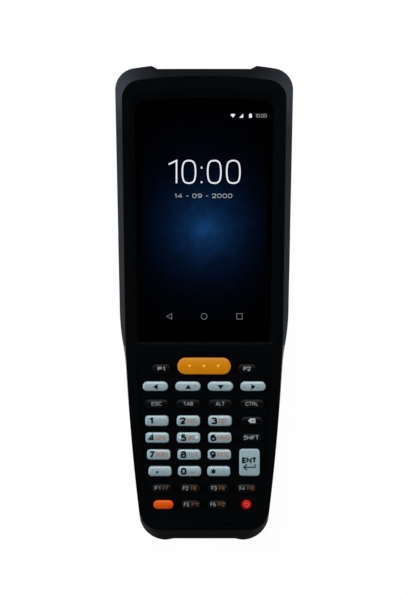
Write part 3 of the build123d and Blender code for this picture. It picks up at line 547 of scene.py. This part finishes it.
pale_ends = "left up down right 1 2 3 4 5 6 7 8 9 enter dot 0 star"
black_ends = "p1 p2 escape tab alt control backspace shift f1 f2 f3 f4 f5 f6"
pale_keys, black_keys = (["key_" + end for end in ends.split()] for ends in (pale_ends, black_ends))
scan_foot, five_foot = (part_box(key)[1].z / mm - nub_rise + unpainted_rise
                        for key, unpainted_rise in (("key_scan", scan_unpainted), ("key_5", five_unpainted)))
# The nubs of the scan key and the 5 key carry a painted highlight in a lighter colour.
amber = cap_plastic("amber_cap", (0.60, 0.212, 0.001), rough=0.32, gloss=0.3,
                    nub_foot=scan_foot, nub_highlight_colour=(0.95, 0.52, 0.08))
pale = cap_plastic("pale_cap", (0.280, 0.392, 0.437), rough=0.28, gloss=0.95,
                   nub_foot=five_foot, nub_highlight_colour=(0.85, 0.88, 0.90))
dress(pale, *pale_keys)
dress(cap_plastic("black_cap", (0.0020, 0.0024, 0.0030), rough=0.40, gloss=0.13), *black_keys)
dress(amber, "key_scan")
dress(cap_plastic("orange_cap", (0.71, 0.080, 0.001), gloss=0.22), "key_orange")
dress(cap_plastic("red_cap", (0.44, 0.002, 0.004), gloss=0.08), "key_power")

# ---- Legends -------------------------------------------------------------------------------------
# Printed on the caps in two passes of hard ink, the first function dark or light and the second
# one orange, about as thick as a hair.
ink_sink, ink_rise = 0.02, 0.025
ink_step = 0.3  # the print follows a cap's crowned top in steps of this length
cap_crown = 0.5  # how far a cap's top curves down to its head and tail edges
flange_width = 0.6  # a cap's box in the frame takes in the flange under it
cap_height, second_height = 1.65, 1.9
figure_height = 2.95
bold, medium, thin, fine = 0.76, 0.27, 0.27, 0.2  # thickness of the strokes


def ink(name, slot, colour):
    """Screen ink with a slightly broken, matt surface, returned with the slot name that it is given."""
    material, tree, place = new_finish(name)
    grain = cloudy(tree, place, 0.12, detail=2.0)
    skin(tree, {
        "Base Color": tint(tree, colour, grain, 0.08),
        "Roughness": spread(tree, grain, 0.5, 0.62),
        "Specular IOR Level": 0.1,
        "Normal": relief(tree, grain, 0.005),
    })
    return material, slot


dark_ink = ink("dark_ink", "dark_key", (0.0005, 0.0015, 0.0035))
light_ink = ink("light_ink", "white_key", (0.40, 0.43, 0.455))
dim_ink = ink("dim_ink", "white_key", (0.235, 0.255, 0.265))
bright_ink = ink("bright_ink", "white_key", (0.42, 0.45, 0.47))
pink_ink = ink("pink_ink", "white_key", (0.80, 0.15, 0.10))
orange_ink = ink("orange_ink", "orange_key", (0.37, 0.155, 0.095))
deep_orange_ink = ink("deep_orange_ink", "orange_key", (0.17, 0.075, 0.045))


def print_legend(end, name, ink_and_slot, draw):
    """Lets draw add shapes round a cap's middle, bends them over its crown and shows them on the key."""
    key = "key_" + end
    low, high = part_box(key)
    middle = (low + high) / 2 / mm
    reach = (high.y - low.y) / 2 / mm - flange_width
    radius = (reach ** 2 + cap_crown ** 2) / (2 * cap_crown)
    shape = bmesh.new()
    draw(shape, middle.x, middle.y, -ink_sink, ink_rise)
    bmesh.ops.triangulate(shape, faces=shape.faces)
    steps = math.ceil(reach / ink_step)
    for step in range(1 - steps, steps):
        bmesh.ops.bisect_plane(shape, geom=[*shape.verts, *shape.edges, *shape.faces], dist=1e-4 * mm,
                               plane_co=(0, (middle.y + step * ink_step) * mm, 0), plane_no=(0, 1, 0))
    for vertex in shape.verts:
        away = vertex.co.y / mm - middle.y
        vertex.co.z += (cap_tops[key] - radius + math.sqrt(radius ** 2 - away ** 2)) * mm
    show(name, close_shape(shape, name), ink_and_slot[0], key)


def word(text, width, height=cap_height, shift=(0.0, 0.0), thick=medium):
    """A drawing of one word, its middle shifted from the cap's."""
    def draw(shape, x, y, low, high):
        letters(shape, low, high, text, (x + shift[0], y + shift[1]), height, width, thick)
    return draw


def picture_of(*parts):
    """A drawing of parts, each given by its lift, its stroke (nought for a filled one) and its points."""
    def draw(shape, x, y, low, high):
        for lift, thick, points in parts:
            placed = [(x + a, y + b) for a, b in points]
            if thick:
                stroke(shape, low, high + lift, placed, thick)
            else:
                slab(shape, low, high + lift, placed)
    return draw


cap_tops = {key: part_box(key)[1].z / mm for key in pale_keys + black_keys + ["key_power"]}
cap_tops["key_5"] -= nub_rise

figures = {  # the figure's width and shift, then the letters beside it with their width and shift
    "1": (1.85, -2.5, None, 0, 0),
    "2": (2.35, -2.3, "ABC", 4.3, 1.5),
    "3": (2.3, -2.3, "DEF", 3.8, 1.4),
    "4": (2.6, -2.4, "GHI", 3.8, 1.45),
    "5": (2.25, -2.05, "JKL", 3.2, 1.25),
    "6": (2.45, -2.65, "MNO", 5.2, 1.65),
    "7": (2.35, -2.85, "PQRS", 5.0, 1.35),
    "8": (2.4, -2.3, "TUV", 3.9, 1.55),
    "9": (2.45, -2.75, "WXYZ", 5.2, 1.4),
    "0": (2.35, -2.45, None, 0, 0),
}
for figure, (width, shift, second, second_width, second_shift) in figures.items():
    print_legend(figure, "figure_" + figure, dark_ink,
                 word(figure, width, figure_height, (shift, 0.0), bold))
    if second:
        print_legend(figure, "letters_" + figure, orange_ink,
                     word(second, second_width, second_height, (second_shift, 0.0), thin))

names_on_black = {"p1": ("P1", 2.9), "p2": ("P2", 3.0), "escape": ("ESC", 4.2), "tab": ("TAB", 4.1),
                  "alt": ("ALT", 3.8), "control": ("CTRL", 5.4), "shift": ("SHIFT", 6.2)}
for end, (text, width) in names_on_black.items():
    print_legend(end, "word_" + end, light_ink if end in ("p1", "p2", "shift") else dim_ink,
                 word(text, width, thick=fine if end == "shift" else medium))

for number in range(1, 7):
    second = number + 6
    width, shift = (2.9, 1.75) if second > 9 else (2.2, 1.5)
    print_legend(f"f{number}", f"word_f{number}", dim_ink, word(f"F{number}", 2.3, shift=(-1.8, 0.0)))
    print_legend(f"f{number}", f"second_f{second}", deep_orange_ink,
                 word(f"F{second}", width, shift=(shift, 0.0)))

arrows = {
    "left": [(-0.9, -0.25), (0.95, -1.45), (0.95, 0.95)],
    "right": [(1.1, -0.25), (-0.8, 0.95), (-0.55, -0.25), (-0.8, -1.45)],
    "up": [(-1.2, -1.05), (1.4, -1.05), (0.1, 0.65)],
    "down": [(1.45, 0.55), (-1.25, 0.55), (0.1, -1.2)],
}
for end, points in arrows.items():
    print_legend(end, "arrow_" + end, dark_ink, picture_of((0.0, 0, points)))


def enter_mark(*spot):
    """The word over a bent arrow."""
    word("ENT", 6.2, 2.45, (0.0, 0.9), 0.66)(*spot)
    picture_of((0.0, 0.46, [(2.3, -0.7), (2.3, -2.0), (-2.3, -2.0)]),
               (layer, 0.46, [(-1.0, -0.8), (-2.4, -2.0), (-1.0, -3.2)]))(*spot)


space_box = [(0.2, 0.1), (0.2, -0.5), (2.8, -0.5), (2.8, 0.1)]
comma = [(1.1, 0.1), (1.45, 0.1), (1.3, -0.5), (1.05, -0.5)]
tag = [(-1.6, 0.0), (-0.6, -0.98), (1.5, -0.98), (1.5, 0.98), (-0.6, 0.98)]
cross = [(-0.02, 0.42), (0.82, -0.42)], [(-0.02, -0.42), (0.82, 0.42)]
triangles = [arc((-2.2, -0.1), 1.2, turn, turn + 240, 2) for turn in (90, 270)]
marks = [  # the key, the print's name, its ink and its drawing
    ("up", "plus_mark", orange_ink,
     picture_of((0.0, 0, oblong(2.3, 0.2, 1.0, 0.22)), (layer, 0, oblong(2.69, -0.19, 0.22, 1.0)))),
    ("down", "minus_mark", orange_ink, picture_of((0.0, 0, oblong(2.5, 0.2, 1.0, 0.22)))),
    ("enter", "word_enter", dark_ink, enter_mark),
    ("star", "star_mark", dark_ink, picture_of((0.0, 0, triangles[0]), (layer, 0, triangles[1]))),
    ("dot", "dot_mark", dark_ink, picture_of((0.0, 0, arc((-1.2, -0.4), 0.48, 0, 340, 17)))),
    ("0", "space_mark", orange_ink, picture_of((0.0, 0.2, space_box))),
    ("dot", "comma_mark", orange_ink, picture_of((0.0, 0, comma))),
    ("backspace", "backspace_mark", bright_ink, picture_of((0.0, 0, tag))),
    ("backspace", "backspace_cross", dark_ink,
     picture_of((4 * layer, 0.22, cross[0]), (6 * layer, 0.22, cross[1]))),
    ("power", "power_mark", pink_ink,
     picture_of((0.0, 0.32, arc((0, 0), 0.88, 125, 415, 26)), (0.0, 0, oblong(-0.15, 0.1, 0.3, 1.05)))),
]
for mark in marks:
    print_legend(*mark)


# ---- Keypad mat and its board --------------------------------------------------------------------
# A mat of grey silicone seals the keys' posts. Under it lies a green board with a sprung steel dome
# under each key.
plain_steel = (0.60, 0.60, 0.61)
dome_height, chip_height = 0.3, 2.2


def silicone():
    material, tree, place = new_finish("keypad_silicone")
    cloud = cloudy(tree, place, 2.0)
    skin(tree, {
        "Base Color": tint(tree, (0.19, 0.19, 0.20), cloud, 0.08),
        "Roughness": spread(tree, cloud, 0.5, 0.6),
        "Subsurface Weight": 0.2,
        "Subsurface Scale": 0.5 * mm,
        "Normal": relief(tree, cloudy(tree, place, 0.2), 0.006),
    })
    return material


def two_skins(tree, share, first, second):
    """Covers the piece with the first shader where share is nought and the second where it is one."""
    mixed = add_node(tree, "ShaderNodeMixShader", {0: share, 1: first.outputs[0], 2: second.outputs[0]})
    add_node(tree, "ShaderNodeOutputMaterial", {0: mixed.outputs[0]})


def circuit(name, node, proud_height, trace=0.9):
    """A board: green mask over its copper tracks. What stands proud of it is plain metal."""
    material, tree, place = new_finish(name)
    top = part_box(node)[1].z - proud_height * mm
    cells = add_node(tree, "ShaderNodeTexBrick", {
        "Vector": place, "Scale": 1 / (trace * 6 * mm), "Mortar Size": 0.09, "Mortar Smooth": 0.2,
        "Color1": (0.006, 0.070, 0.026, 1), "Color2": (0.007, 0.082, 0.030, 1),
        "Mortar": (0.016, 0.125, 0.045, 1),
    })
    board = add_node(tree, "ShaderNodeBsdfPrincipled", {
        "Base Color": cells.outputs["Color"],
        "Roughness": spread(tree, cloudy(tree, place, 1.0), 0.28, 0.40),
        "Normal": relief(tree, cells.outputs["Fac"], 0.02),
    })
    metal = add_node(tree, "ShaderNodeBsdfPrincipled", {
        "Base Color": tint(tree, plain_steel, cloudy(tree, place, 2.0), 0.10),
        "Metallic": 1.0,
        "Roughness": spread(tree, cloudy(tree, place, 0.6), 0.28, 0.42),
    })
    proud = spread(tree, part_of(tree, place, "Z"), 0.0, 1.0, top + 0.01 * mm, top + 0.03 * mm)
    two_skins(tree, proud, board, metal)
    dress(material, node)


dress(silicone(), "keypad_mat")
circuit("keypad_circuit", "keypad_board", dome_height)
circuit("main_circuit", "main_board", chip_height)


# ---- Chassis -------------------------------------------------------------------------------------
# Die-cast magnesium, left as cast: pale grey, faintly mottled by the mould wash, with a coarse skin.
# It carries the boards and the display.
def cast_metal():
    material, tree, place = new_finish("cast_magnesium")
    coarse = cloudy(tree, place, 0.8, detail=6.0, roughness=0.7)
    skin(tree, {
        "Base Color": tint(tree, (0.50, 0.51, 0.52), cloudy(tree, place, 7.0), 0.15),
        "Metallic": 1.0,
        "Roughness": spread(tree, coarse, 0.45, 0.62),
        "Normal": relief(tree, coarse, 0.03),
    })
    return material


dress(cast_metal(), "chassis")

# ---- Scan engine and window ----------------------------------------------------------------------
# The imager looks out of the head through a deep red acrylic window. Its camera lens sits in the
# middle barrel and an aiming lamp in each side barrel.
lens_radius, lens_crown = 1.45, 0.45
lamp_radius, lamp_crown = 1.5, 0.5
lamp_spacing = 7.0
barrel_depth = 1.0
dress(grained("engine_plastic", (0.010, 0.010, 0.012), 0.45, 0.4, grain=0.2), "scan_engine")


def acrylic():
    material, tree, place = new_finish("red_acrylic")
    smears = cloudy(tree, place, 4.0)
    skin(tree, {
        "Base Color": tint(tree, (0.36, 0.012, 0.018), smears, 0.05),
        "Roughness": spread(tree, smears, 0.02, 0.05),
        "IOR": 1.49,
        "Transmission Weight": 0.75,
    })
    return material


def lens_coating():
    """Coated glass: violet in the middle, greener towards the rim."""
    material, tree, place = new_finish("coated_lens")
    rim = add_node(tree, "ShaderNodeLayerWeight", {"Blend": 0.35}).outputs["Facing"]
    colour = add_node(tree, "ShaderNodeMix", {
        "Factor": rim, "A": (0.02, 0.008, 0.06, 1), "B": (0.008, 0.03, 0.03, 1)}, data_type="RGBA")
    skin(tree, {
        "Base Color": colour.outputs["Result"],
        "Roughness": spread(tree, cloudy(tree, place, 1.0), 0.03, 0.06),
        "Coat Weight": 1.0,
    })
    return material


def dome(shape, centre, radius, crown, rings=6, sides=28):
    """Adds a shallow dome that faces the head, closed behind by a flat disc."""
    x, y, z = centre
    turns = [2 * math.pi * i / sides for i in range(sides)]
    top = shape.verts.new((x * mm, (y + crown) * mm, z * mm))
    rows = []
    for ring in range(1, rings + 1):
        across = radius * ring / rings
        rise = crown * (1 - (ring / rings) ** 2)
        spots = [(x + across * math.cos(turn), y + rise, z + across * math.sin(turn)) for turn in turns]
        rows.append([shape.verts.new([axis * mm for axis in spot]) for spot in spots])
    for i in range(sides):
        j = (i + 1) % sides
        shape.faces.new((top, rows[0][i], rows[0][j]))
        for inner, outer in zip(rows, rows[1:]):
            shape.faces.new((inner[i], outer[i], outer[j], inner[j]))
    shape.faces.new(rows[-1])


def show_domes(name, centres, radius, crown, material):
    """Shows one or more domes as a piece, smooth but for their flat backs."""
    shape = bmesh.new()
    for centre in centres:
        dome(shape, centre, radius, crown)
    mesh = close_shape(shape, name)
    mesh.polygons.foreach_set("use_smooth", [len(face.vertices) < 5 for face in mesh.polygons])
    show(name, mesh, material, "casing")


dress(acrylic(), "scan_window")
engine_low, engine_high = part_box("scan_engine")
barrel_foot = engine_high.y / mm - barrel_depth
engine_z = (engine_low.z + engine_high.z) / 2 / mm
show_domes("camera_lens", [(0.0, barrel_foot + barrel_depth / 2, engine_z)], lens_radius, lens_crown,
           lens_coating())
show_domes("aiming_lamps", [(way * lamp_spacing, barrel_foot, engine_z) for way in (-1, 1)], lamp_radius,
           lamp_crown, cap_plastic("lamp_plastic", (0.55, 0.56, 0.50), rough=0.15))

# ---- Loudspeaker, its cloth, buzzer and microphone -----------------------------------------------
# The loudspeaker faces the back through five slots. Woven stainless cloth behind the slots keeps
# dust out. The vibration motor is a small steel can, and dark gauze covers the microphone.
cloth_wire = 0.055  # radius
cloth_pitch = 0.30
cloth_gap = 0.16  # cloth's middle below the loudspeaker
cross_count, long_count = 28, 3
cross_steps, long_steps = 9, 57  # points along a waved wire
slot_length, slot_width = 9.0, 1.2
slot_count, slot_pitch = 5, 2.9
dress(grained("speaker_plastic", (0.012, 0.012, 0.013), 0.5, 0.3, grain=0.25), "loudspeaker")
dress(turned_steel("can_steel", (0.50, 0.50, 0.52), 0.30), "vibration_motor")
dress(turned_steel("microphone_mesh", (0.02, 0.02, 0.02), 0.5), "microphone")


def rod_tree():
    """Geometry nodes for rows of equal rods: straight or waved, round or flattened, in groups."""
    tree = bpy.data.node_groups.new("rods", "GeometryNodeTree")
    kinds = {
        "Length": "Float", "Radius": "Float", "Flatten": "Float", "Wave": "Float", "Wave Length": "Float",
        "Rods": "Int", "Pitch": "Float", "Groups": "Int", "Group Pitch": "Vector", "Turn": "Vector",
        "Centre": "Vector", "Steps": "Int", "Sides": "Int", "Finish": "Material",
    }
    for name, kind in kinds.items():
        tree.interface.new_socket(name=name, in_out="INPUT", socket_type="NodeSocket" + kind)
    tree.interface.new_socket(name="Geometry", in_out="OUTPUT", socket_type="NodeSocketGeometry")
    given = add_node(tree, "NodeGroupInput").outputs

    def times(first, second):
        return maths(tree, "MULTIPLY", first, second)

    def combine(x=0.0, y=0.0, z=0.0):
        return add_node(tree, "ShaderNodeCombineXYZ", {0: x, 1: y, 2: z}).outputs[0]

    def add(kind, **inputs):
        inputs = {name.replace("_", " "): value for name, value in inputs.items()}
        return add_node(tree, kind, inputs).outputs[0]

    def half_run(count):
        """Half the number of gaps in a row, backwards from its middle."""
        return times(maths(tree, "SUBTRACT", count, 1.0), -0.5)

    half = times(given["Length"], 0.5)
    line = add("GeometryNodeCurvePrimitiveLine", Start=combine(times(half, -1.0)), End=combine(half))
    line = add("GeometryNodeResampleCurve", Curve=line, Count=given["Steps"])
    along = part_of(tree, add_node(tree, "GeometryNodeInputPosition").outputs[0], "X")
    phase = times(maths(tree, "DIVIDE", along, given["Wave Length"]), 2 * math.pi)
    lift = times(maths(tree, "SINE", phase), given["Wave"])
    line = add("GeometryNodeSetPosition", Geometry=line, Offset=combine(z=lift))
    ring = add("GeometryNodeCurvePrimitiveCircle", Resolution=given["Sides"], Radius=given["Radius"])
    rod = add("GeometryNodeCurveToMesh", Curve=line, Profile_Curve=ring, Fill_Caps=True)

    start = combine(y=times(half_run(given["Rods"]), given["Pitch"]))
    row = add("GeometryNodeMeshLine", Count=given["Rods"], Start_Location=start,
              Offset=combine(y=given["Pitch"]))
    odd = maths(tree, "MODULO", add_node(tree, "GeometryNodeInputIndex").outputs[0], 2.0)
    side = times(maths(tree, "SUBTRACT", 1.0, times(odd, 2.0)), given["Flatten"])
    rods = add("GeometryNodeInstanceOnPoints", Points=row, Instance=rod, Scale=combine(1.0, 1.0, side))
    rods = add("GeometryNodeRealizeInstances", Geometry=rods)

    start = scaled(tree, given["Group Pitch"], half_run(given["Groups"]))
    start = add_node(tree, "ShaderNodeVectorMath", {0: start, 1: given["Centre"]}).outputs[0]
    places = add("GeometryNodeMeshLine", Count=given["Groups"], Start_Location=start,
                 Offset=given["Group Pitch"])
    groups = add("GeometryNodeInstanceOnPoints", Points=places, Instance=rods, Rotation=given["Turn"])
    whole = add("GeometryNodeRealizeInstances", Geometry=groups)
    whole = add("GeometryNodeSetMaterial", Geometry=whole, Material=given["Finish"])
    add_node(tree, "NodeGroupOutput", {"Geometry": whole})
    return tree


rods = rod_tree()


def rod_shape(finish, **values):
    """A plain mesh of rods. Lengths are in millimetres, and names have a line for each space."""
    holder = bpy.data.objects.new("rods", bpy.data.meshes.new("rods"))
    bpy.context.scene.collection.objects.link(holder)
    modifier = holder.modifiers.new("rods", "NODES")
    modifier.node_group = rods
    lengths = ("Length", "Radius", "Wave", "Wave Length", "Pitch")
    settings = {"Flatten": 1.0, "Wave": 0.0, "Wave Length": 1.0, "Groups": 1, "Group Pitch": (0.0, 0.0, 0.0),
                "Turn": (0.0, 0.0, 0.0), "Steps": 2, "Sides": 8}
    settings.update({name.replace("_", " "): value for name, value in values.items()})
    for item in rods.interface.items_tree:
        if item.in_out == "INPUT":
            value = finish if item.name == "Finish" else settings[item.name]
            if item.name in lengths:
                value = value * mm
            if item.name in ("Centre", "Group Pitch"):
                value = [axis * mm for axis in value]
            modifier[item.identifier] = value
    graph = bpy.context.evaluated_depsgraph_get()
    mesh = bpy.data.meshes.new_from_object(holder.evaluated_get(graph))
    bpy.data.objects.remove(holder)
    shape = bmesh.new()
    shape.from_mesh(mesh)
    bmesh.ops.recalc_face_normals(shape, faces=shape.faces)
    shape.to_mesh(mesh)
    shape.free()
    mesh.materials.clear()
    return mesh


quarter_turn = (0.0, 0.0, math.pi / 2)
speaker_low, speaker_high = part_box("loudspeaker")
cloth_middle = ((speaker_low + speaker_high) / 2 / mm).to_2d()
cloth_z = speaker_low.z / mm - cloth_gap
cloth = {"Radius": cloth_wire, "Wave": cloth_wire, "Wave_Length": 2 * cloth_pitch, "Pitch": cloth_pitch,
         "Sides": 6, "Groups": slot_count, "Group_Pitch": (slot_pitch, 0.0, 0.0),
         "Centre": (*cloth_middle, cloth_z)}
cloth_steel = turned_steel("cloth_steel", (0.30, 0.30, 0.31), 0.32)
cross_wires = rod_shape(cloth_steel, Length=slot_width - 0.04, Rods=cross_count, Steps=cross_steps, **cloth)
show("speaker_cloth_weft", cross_wires, cloth_steel, "casing")
long_wires = rod_shape(cloth_steel, Length=slot_length - slot_width / 2, Rods=long_count, Steps=long_steps,
                       Turn=quarter_turn, **cloth)
show("speaker_cloth_warp", long_wires, cloth_steel, "casing")

# ---- Port ----------------------------------------------------------------------------------------
# A drawn steel shell, nickel-plated, in the tail. Twelve gold-plated contacts lie on each side of
# its tongue.
tongue_half_thick = 0.35
contact_setback = 1.95  # port's mouth to the contacts
contact_length, contact_radius, contact_flat, contact_pitch = 3.4, 0.125, 0.3, 0.5
plating = (0.80, 0.56, 0.22)
port_low, port_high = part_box("usb_connector")
port_middle = (port_low + port_high) / 2 / mm
contact_y = port_low.y / mm + contact_setback + contact_length / 2
gold = turned_steel("contact_gold", plating, 0.24)
dress(turned_steel("nickel_shell", (0.62, 0.61, 0.58), 0.24), "usb_connector")
for side, label in ((1, "upper"), (-1, "lower")):
    contacts = rod_shape(gold, Length=contact_length, Radius=contact_radius, Flatten=contact_flat, Rods=12,
                         Pitch=contact_pitch, Turn=quarter_turn,
                         Centre=(port_middle.x, contact_y, port_middle.z + side * tongue_half_thick))
    show("port_contacts_" + label, contacts, gold, "casing")

# ---- Battery -------------------------------------------------------------------------------------
# A moulded tray closes the back and carries a wrapped cell pack, with gold-plated pads on its top
# for the spring pins. Raised ribs near its tail end give the thumb a hold.
rib_count, rib_pitch = 6, 1.9
rib_length, rib_radius, rib_flat = 17.0, 0.45, 0.5
rib_foot = 14.0  # battery's tail end to the ribs' middle
plated_depth = 0.16  # how far down from their tops the cells' pads are plated
bay_gap = 0.3  # battery to the ceiling of its bay
case_low, case_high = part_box("battery_case")
tray_black = grained("battery_plastic", (0.010, 0.011, 0.012), 0.52, 0.3)
dress(tray_black, "battery_case")


def metal_past(name, base, base_rough, edge, above):
    """Gold plating beyond a height, and plain plastic on the other side of it."""
    material, tree, place = new_finish(name)
    ends = (0.0, 1.0) if above else (1.0, 0.0)
    plated = spread(tree, part_of(tree, place, "Z"), *ends, (edge - 0.01) * mm, (edge + 0.01) * mm)
    wrinkles = cloudy(tree, place, 2.5, detail=5.0)
    plain = add_node(tree, "ShaderNodeBsdfPrincipled", {
        "Base Color": tint(tree, base, wrinkles, 0.15),
        "Roughness": spread(tree, wrinkles, base_rough - 0.05, base_rough + 0.08),
        "Normal": relief(tree, wrinkles, 0.05),
    })
    metal = add_node(tree, "ShaderNodeBsdfPrincipled", {
        "Base Color": tint(tree, plating, wrinkles, 0.06),
        "Metallic": 1.0,
        "Roughness": spread(tree, wrinkles, 0.2, 0.3),
    })
    two_skins(tree, plated, plain, metal)
    return material


plated_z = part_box("battery_cells")[1].z / mm - plated_depth
dress(metal_past("cell_wrap", (0.045, 0.055, 0.075), 0.3, plated_z, True), "battery_cells")
bay_ceiling = case_high.z / mm + bay_gap
dress(metal_past("pin_block", (0.012, 0.012, 0.013), 0.45, bay_ceiling, False), "battery_contacts")
ribs = rod_shape(tray_black, Length=rib_length, Radius=rib_radius, Flatten=rib_flat, Rods=rib_count,
                 Pitch=rib_pitch, Sides=20, Centre=(0.0, case_low.y / mm + rib_foot, case_low.z / mm))
show("battery_grip_ribs", ribs, tray_black, "battery")


# ---- Latches and side triggers -------------------------------------------------------------------
# The two ribbed latches are squeezed together to free the battery. The amber pads at the sides fire
# the scanner, like the scan key.
dress(grained("latch_plastic", (0.035, 0.037, 0.040), 0.48, 0.35),
      "battery_latch_left", "battery_latch_right")
dress(amber, "scan_button_left", "scan_button_right")

# ---- Floor, lights and surroundings --------------------------------------------------------------
# A white sheet on a table. Long soft lamps stand low at both sides and mirror in nothing, a weaker
# one past the head gives the gloss, and the room above is dark, so that glass and black stay deep.
floor_half = 3.0
sheet_gap = 0.2
sheet_white = 1.055  # a little over white, to make up for the darker share of paper
picture_share = 0.9  # how much of the sheet's look is plain white, past any shadow
room_light, room_dark = 0.10, 0.004  # what it sheds, and how dark it looks overhead
horizon = (0.15, 0.6)  # heights on a unit sphere between which white falls to that dark


def seen_directly(tree):
    """One for rays from the camera, a mirror or glass, and nought for the light they gather."""
    path = add_node(tree, "ShaderNodeLightPath").outputs
    both = maths(tree, "MAXIMUM", path["Is Camera Ray"], path["Is Glossy Ray"])
    return maths(tree, "MAXIMUM", both, path["Is Transmission Ray"])


def white_sheet():
    material, tree, place = new_finish("white_sheet")
    colour = tint(tree, (0.84, 0.84, 0.84), cloudy(tree, place, 1.5), 0.01)
    paper = add_node(tree, "ShaderNodeBsdfDiffuse", {"Color": colour})
    plain = add_node(tree, "ShaderNodeEmission", {"Color": (1, 1, 1, 1), "Strength": sheet_white})
    two_skins(tree, maths(tree, "MULTIPLY", seen_directly(tree), picture_share), paper, plain)
    return material


sheet = bpy.data.meshes.new("sheet")
corners = oblong(-floor_half, -floor_half, 2 * floor_half, 2 * floor_half)

sheet.from_pydata([(x, y, -sheet_gap * mm) for x, y in corners], [], [(0, 1, 2, 3)])
sheet.materials.append(white_sheet())
floor = bpy.data.objects.new("floor", sheet)
bpy.context.scene.collection.objects.link(floor)

lamps = {  # place, size, watts
    "lamp_left": ((-1.35, 0.2, 0.31), (0.3, 1.0), 30.0),
    "lamp_right": ((1.3, 0.2, 0.42), (0.35, 1.0), 15.0),
    "lamp_head": ((0.0, 0.95, 1.15), (0.9, 0.5), 9.0),
}
for name, (place, size, watts) in lamps.items():
    lamp = bpy.data.objects.new(name, bpy.data.lights.new(name, "AREA"))
    lamp.data.shape = "RECTANGLE"
    lamp.data.size, lamp.data.size_y = size
    lamp.data.energy = watts
    lamp.location = place
    aim = Vector(place).to_track_quat("Z", "Y")
    lamp.rotation_euler = aim.to_euler()
    lamp.visible_glossy = name == "lamp_head"
    bpy.context.scene.collection.objects.link(lamp)

world = bpy.data.worlds.new("room")
world.use_nodes = True
room = world.node_tree
room.nodes.clear()
upward = part_of(room, add_node(room, "ShaderNodeTexCoord").outputs["Generated"], "Z")
backdrop = spread(room, upward, 1.0, room_dark, *horizon)
seen, gathered = (add_node(room, "ShaderNodeBackground", {"Color": (1, 1, 1, 1), "Strength": strength})
                  for strength in (backdrop, room_light))
both = {0: seen_directly(room), 1: gathered.outputs[0], 2: seen.outputs[0]}
add_node(room, "ShaderNodeOutputWorld", {0: add_node(room, "ShaderNodeMixShader", both).outputs[0]})

bpy.context.scene.world = world
bpy.context.scene.view_settings.view_transform = "Standard"
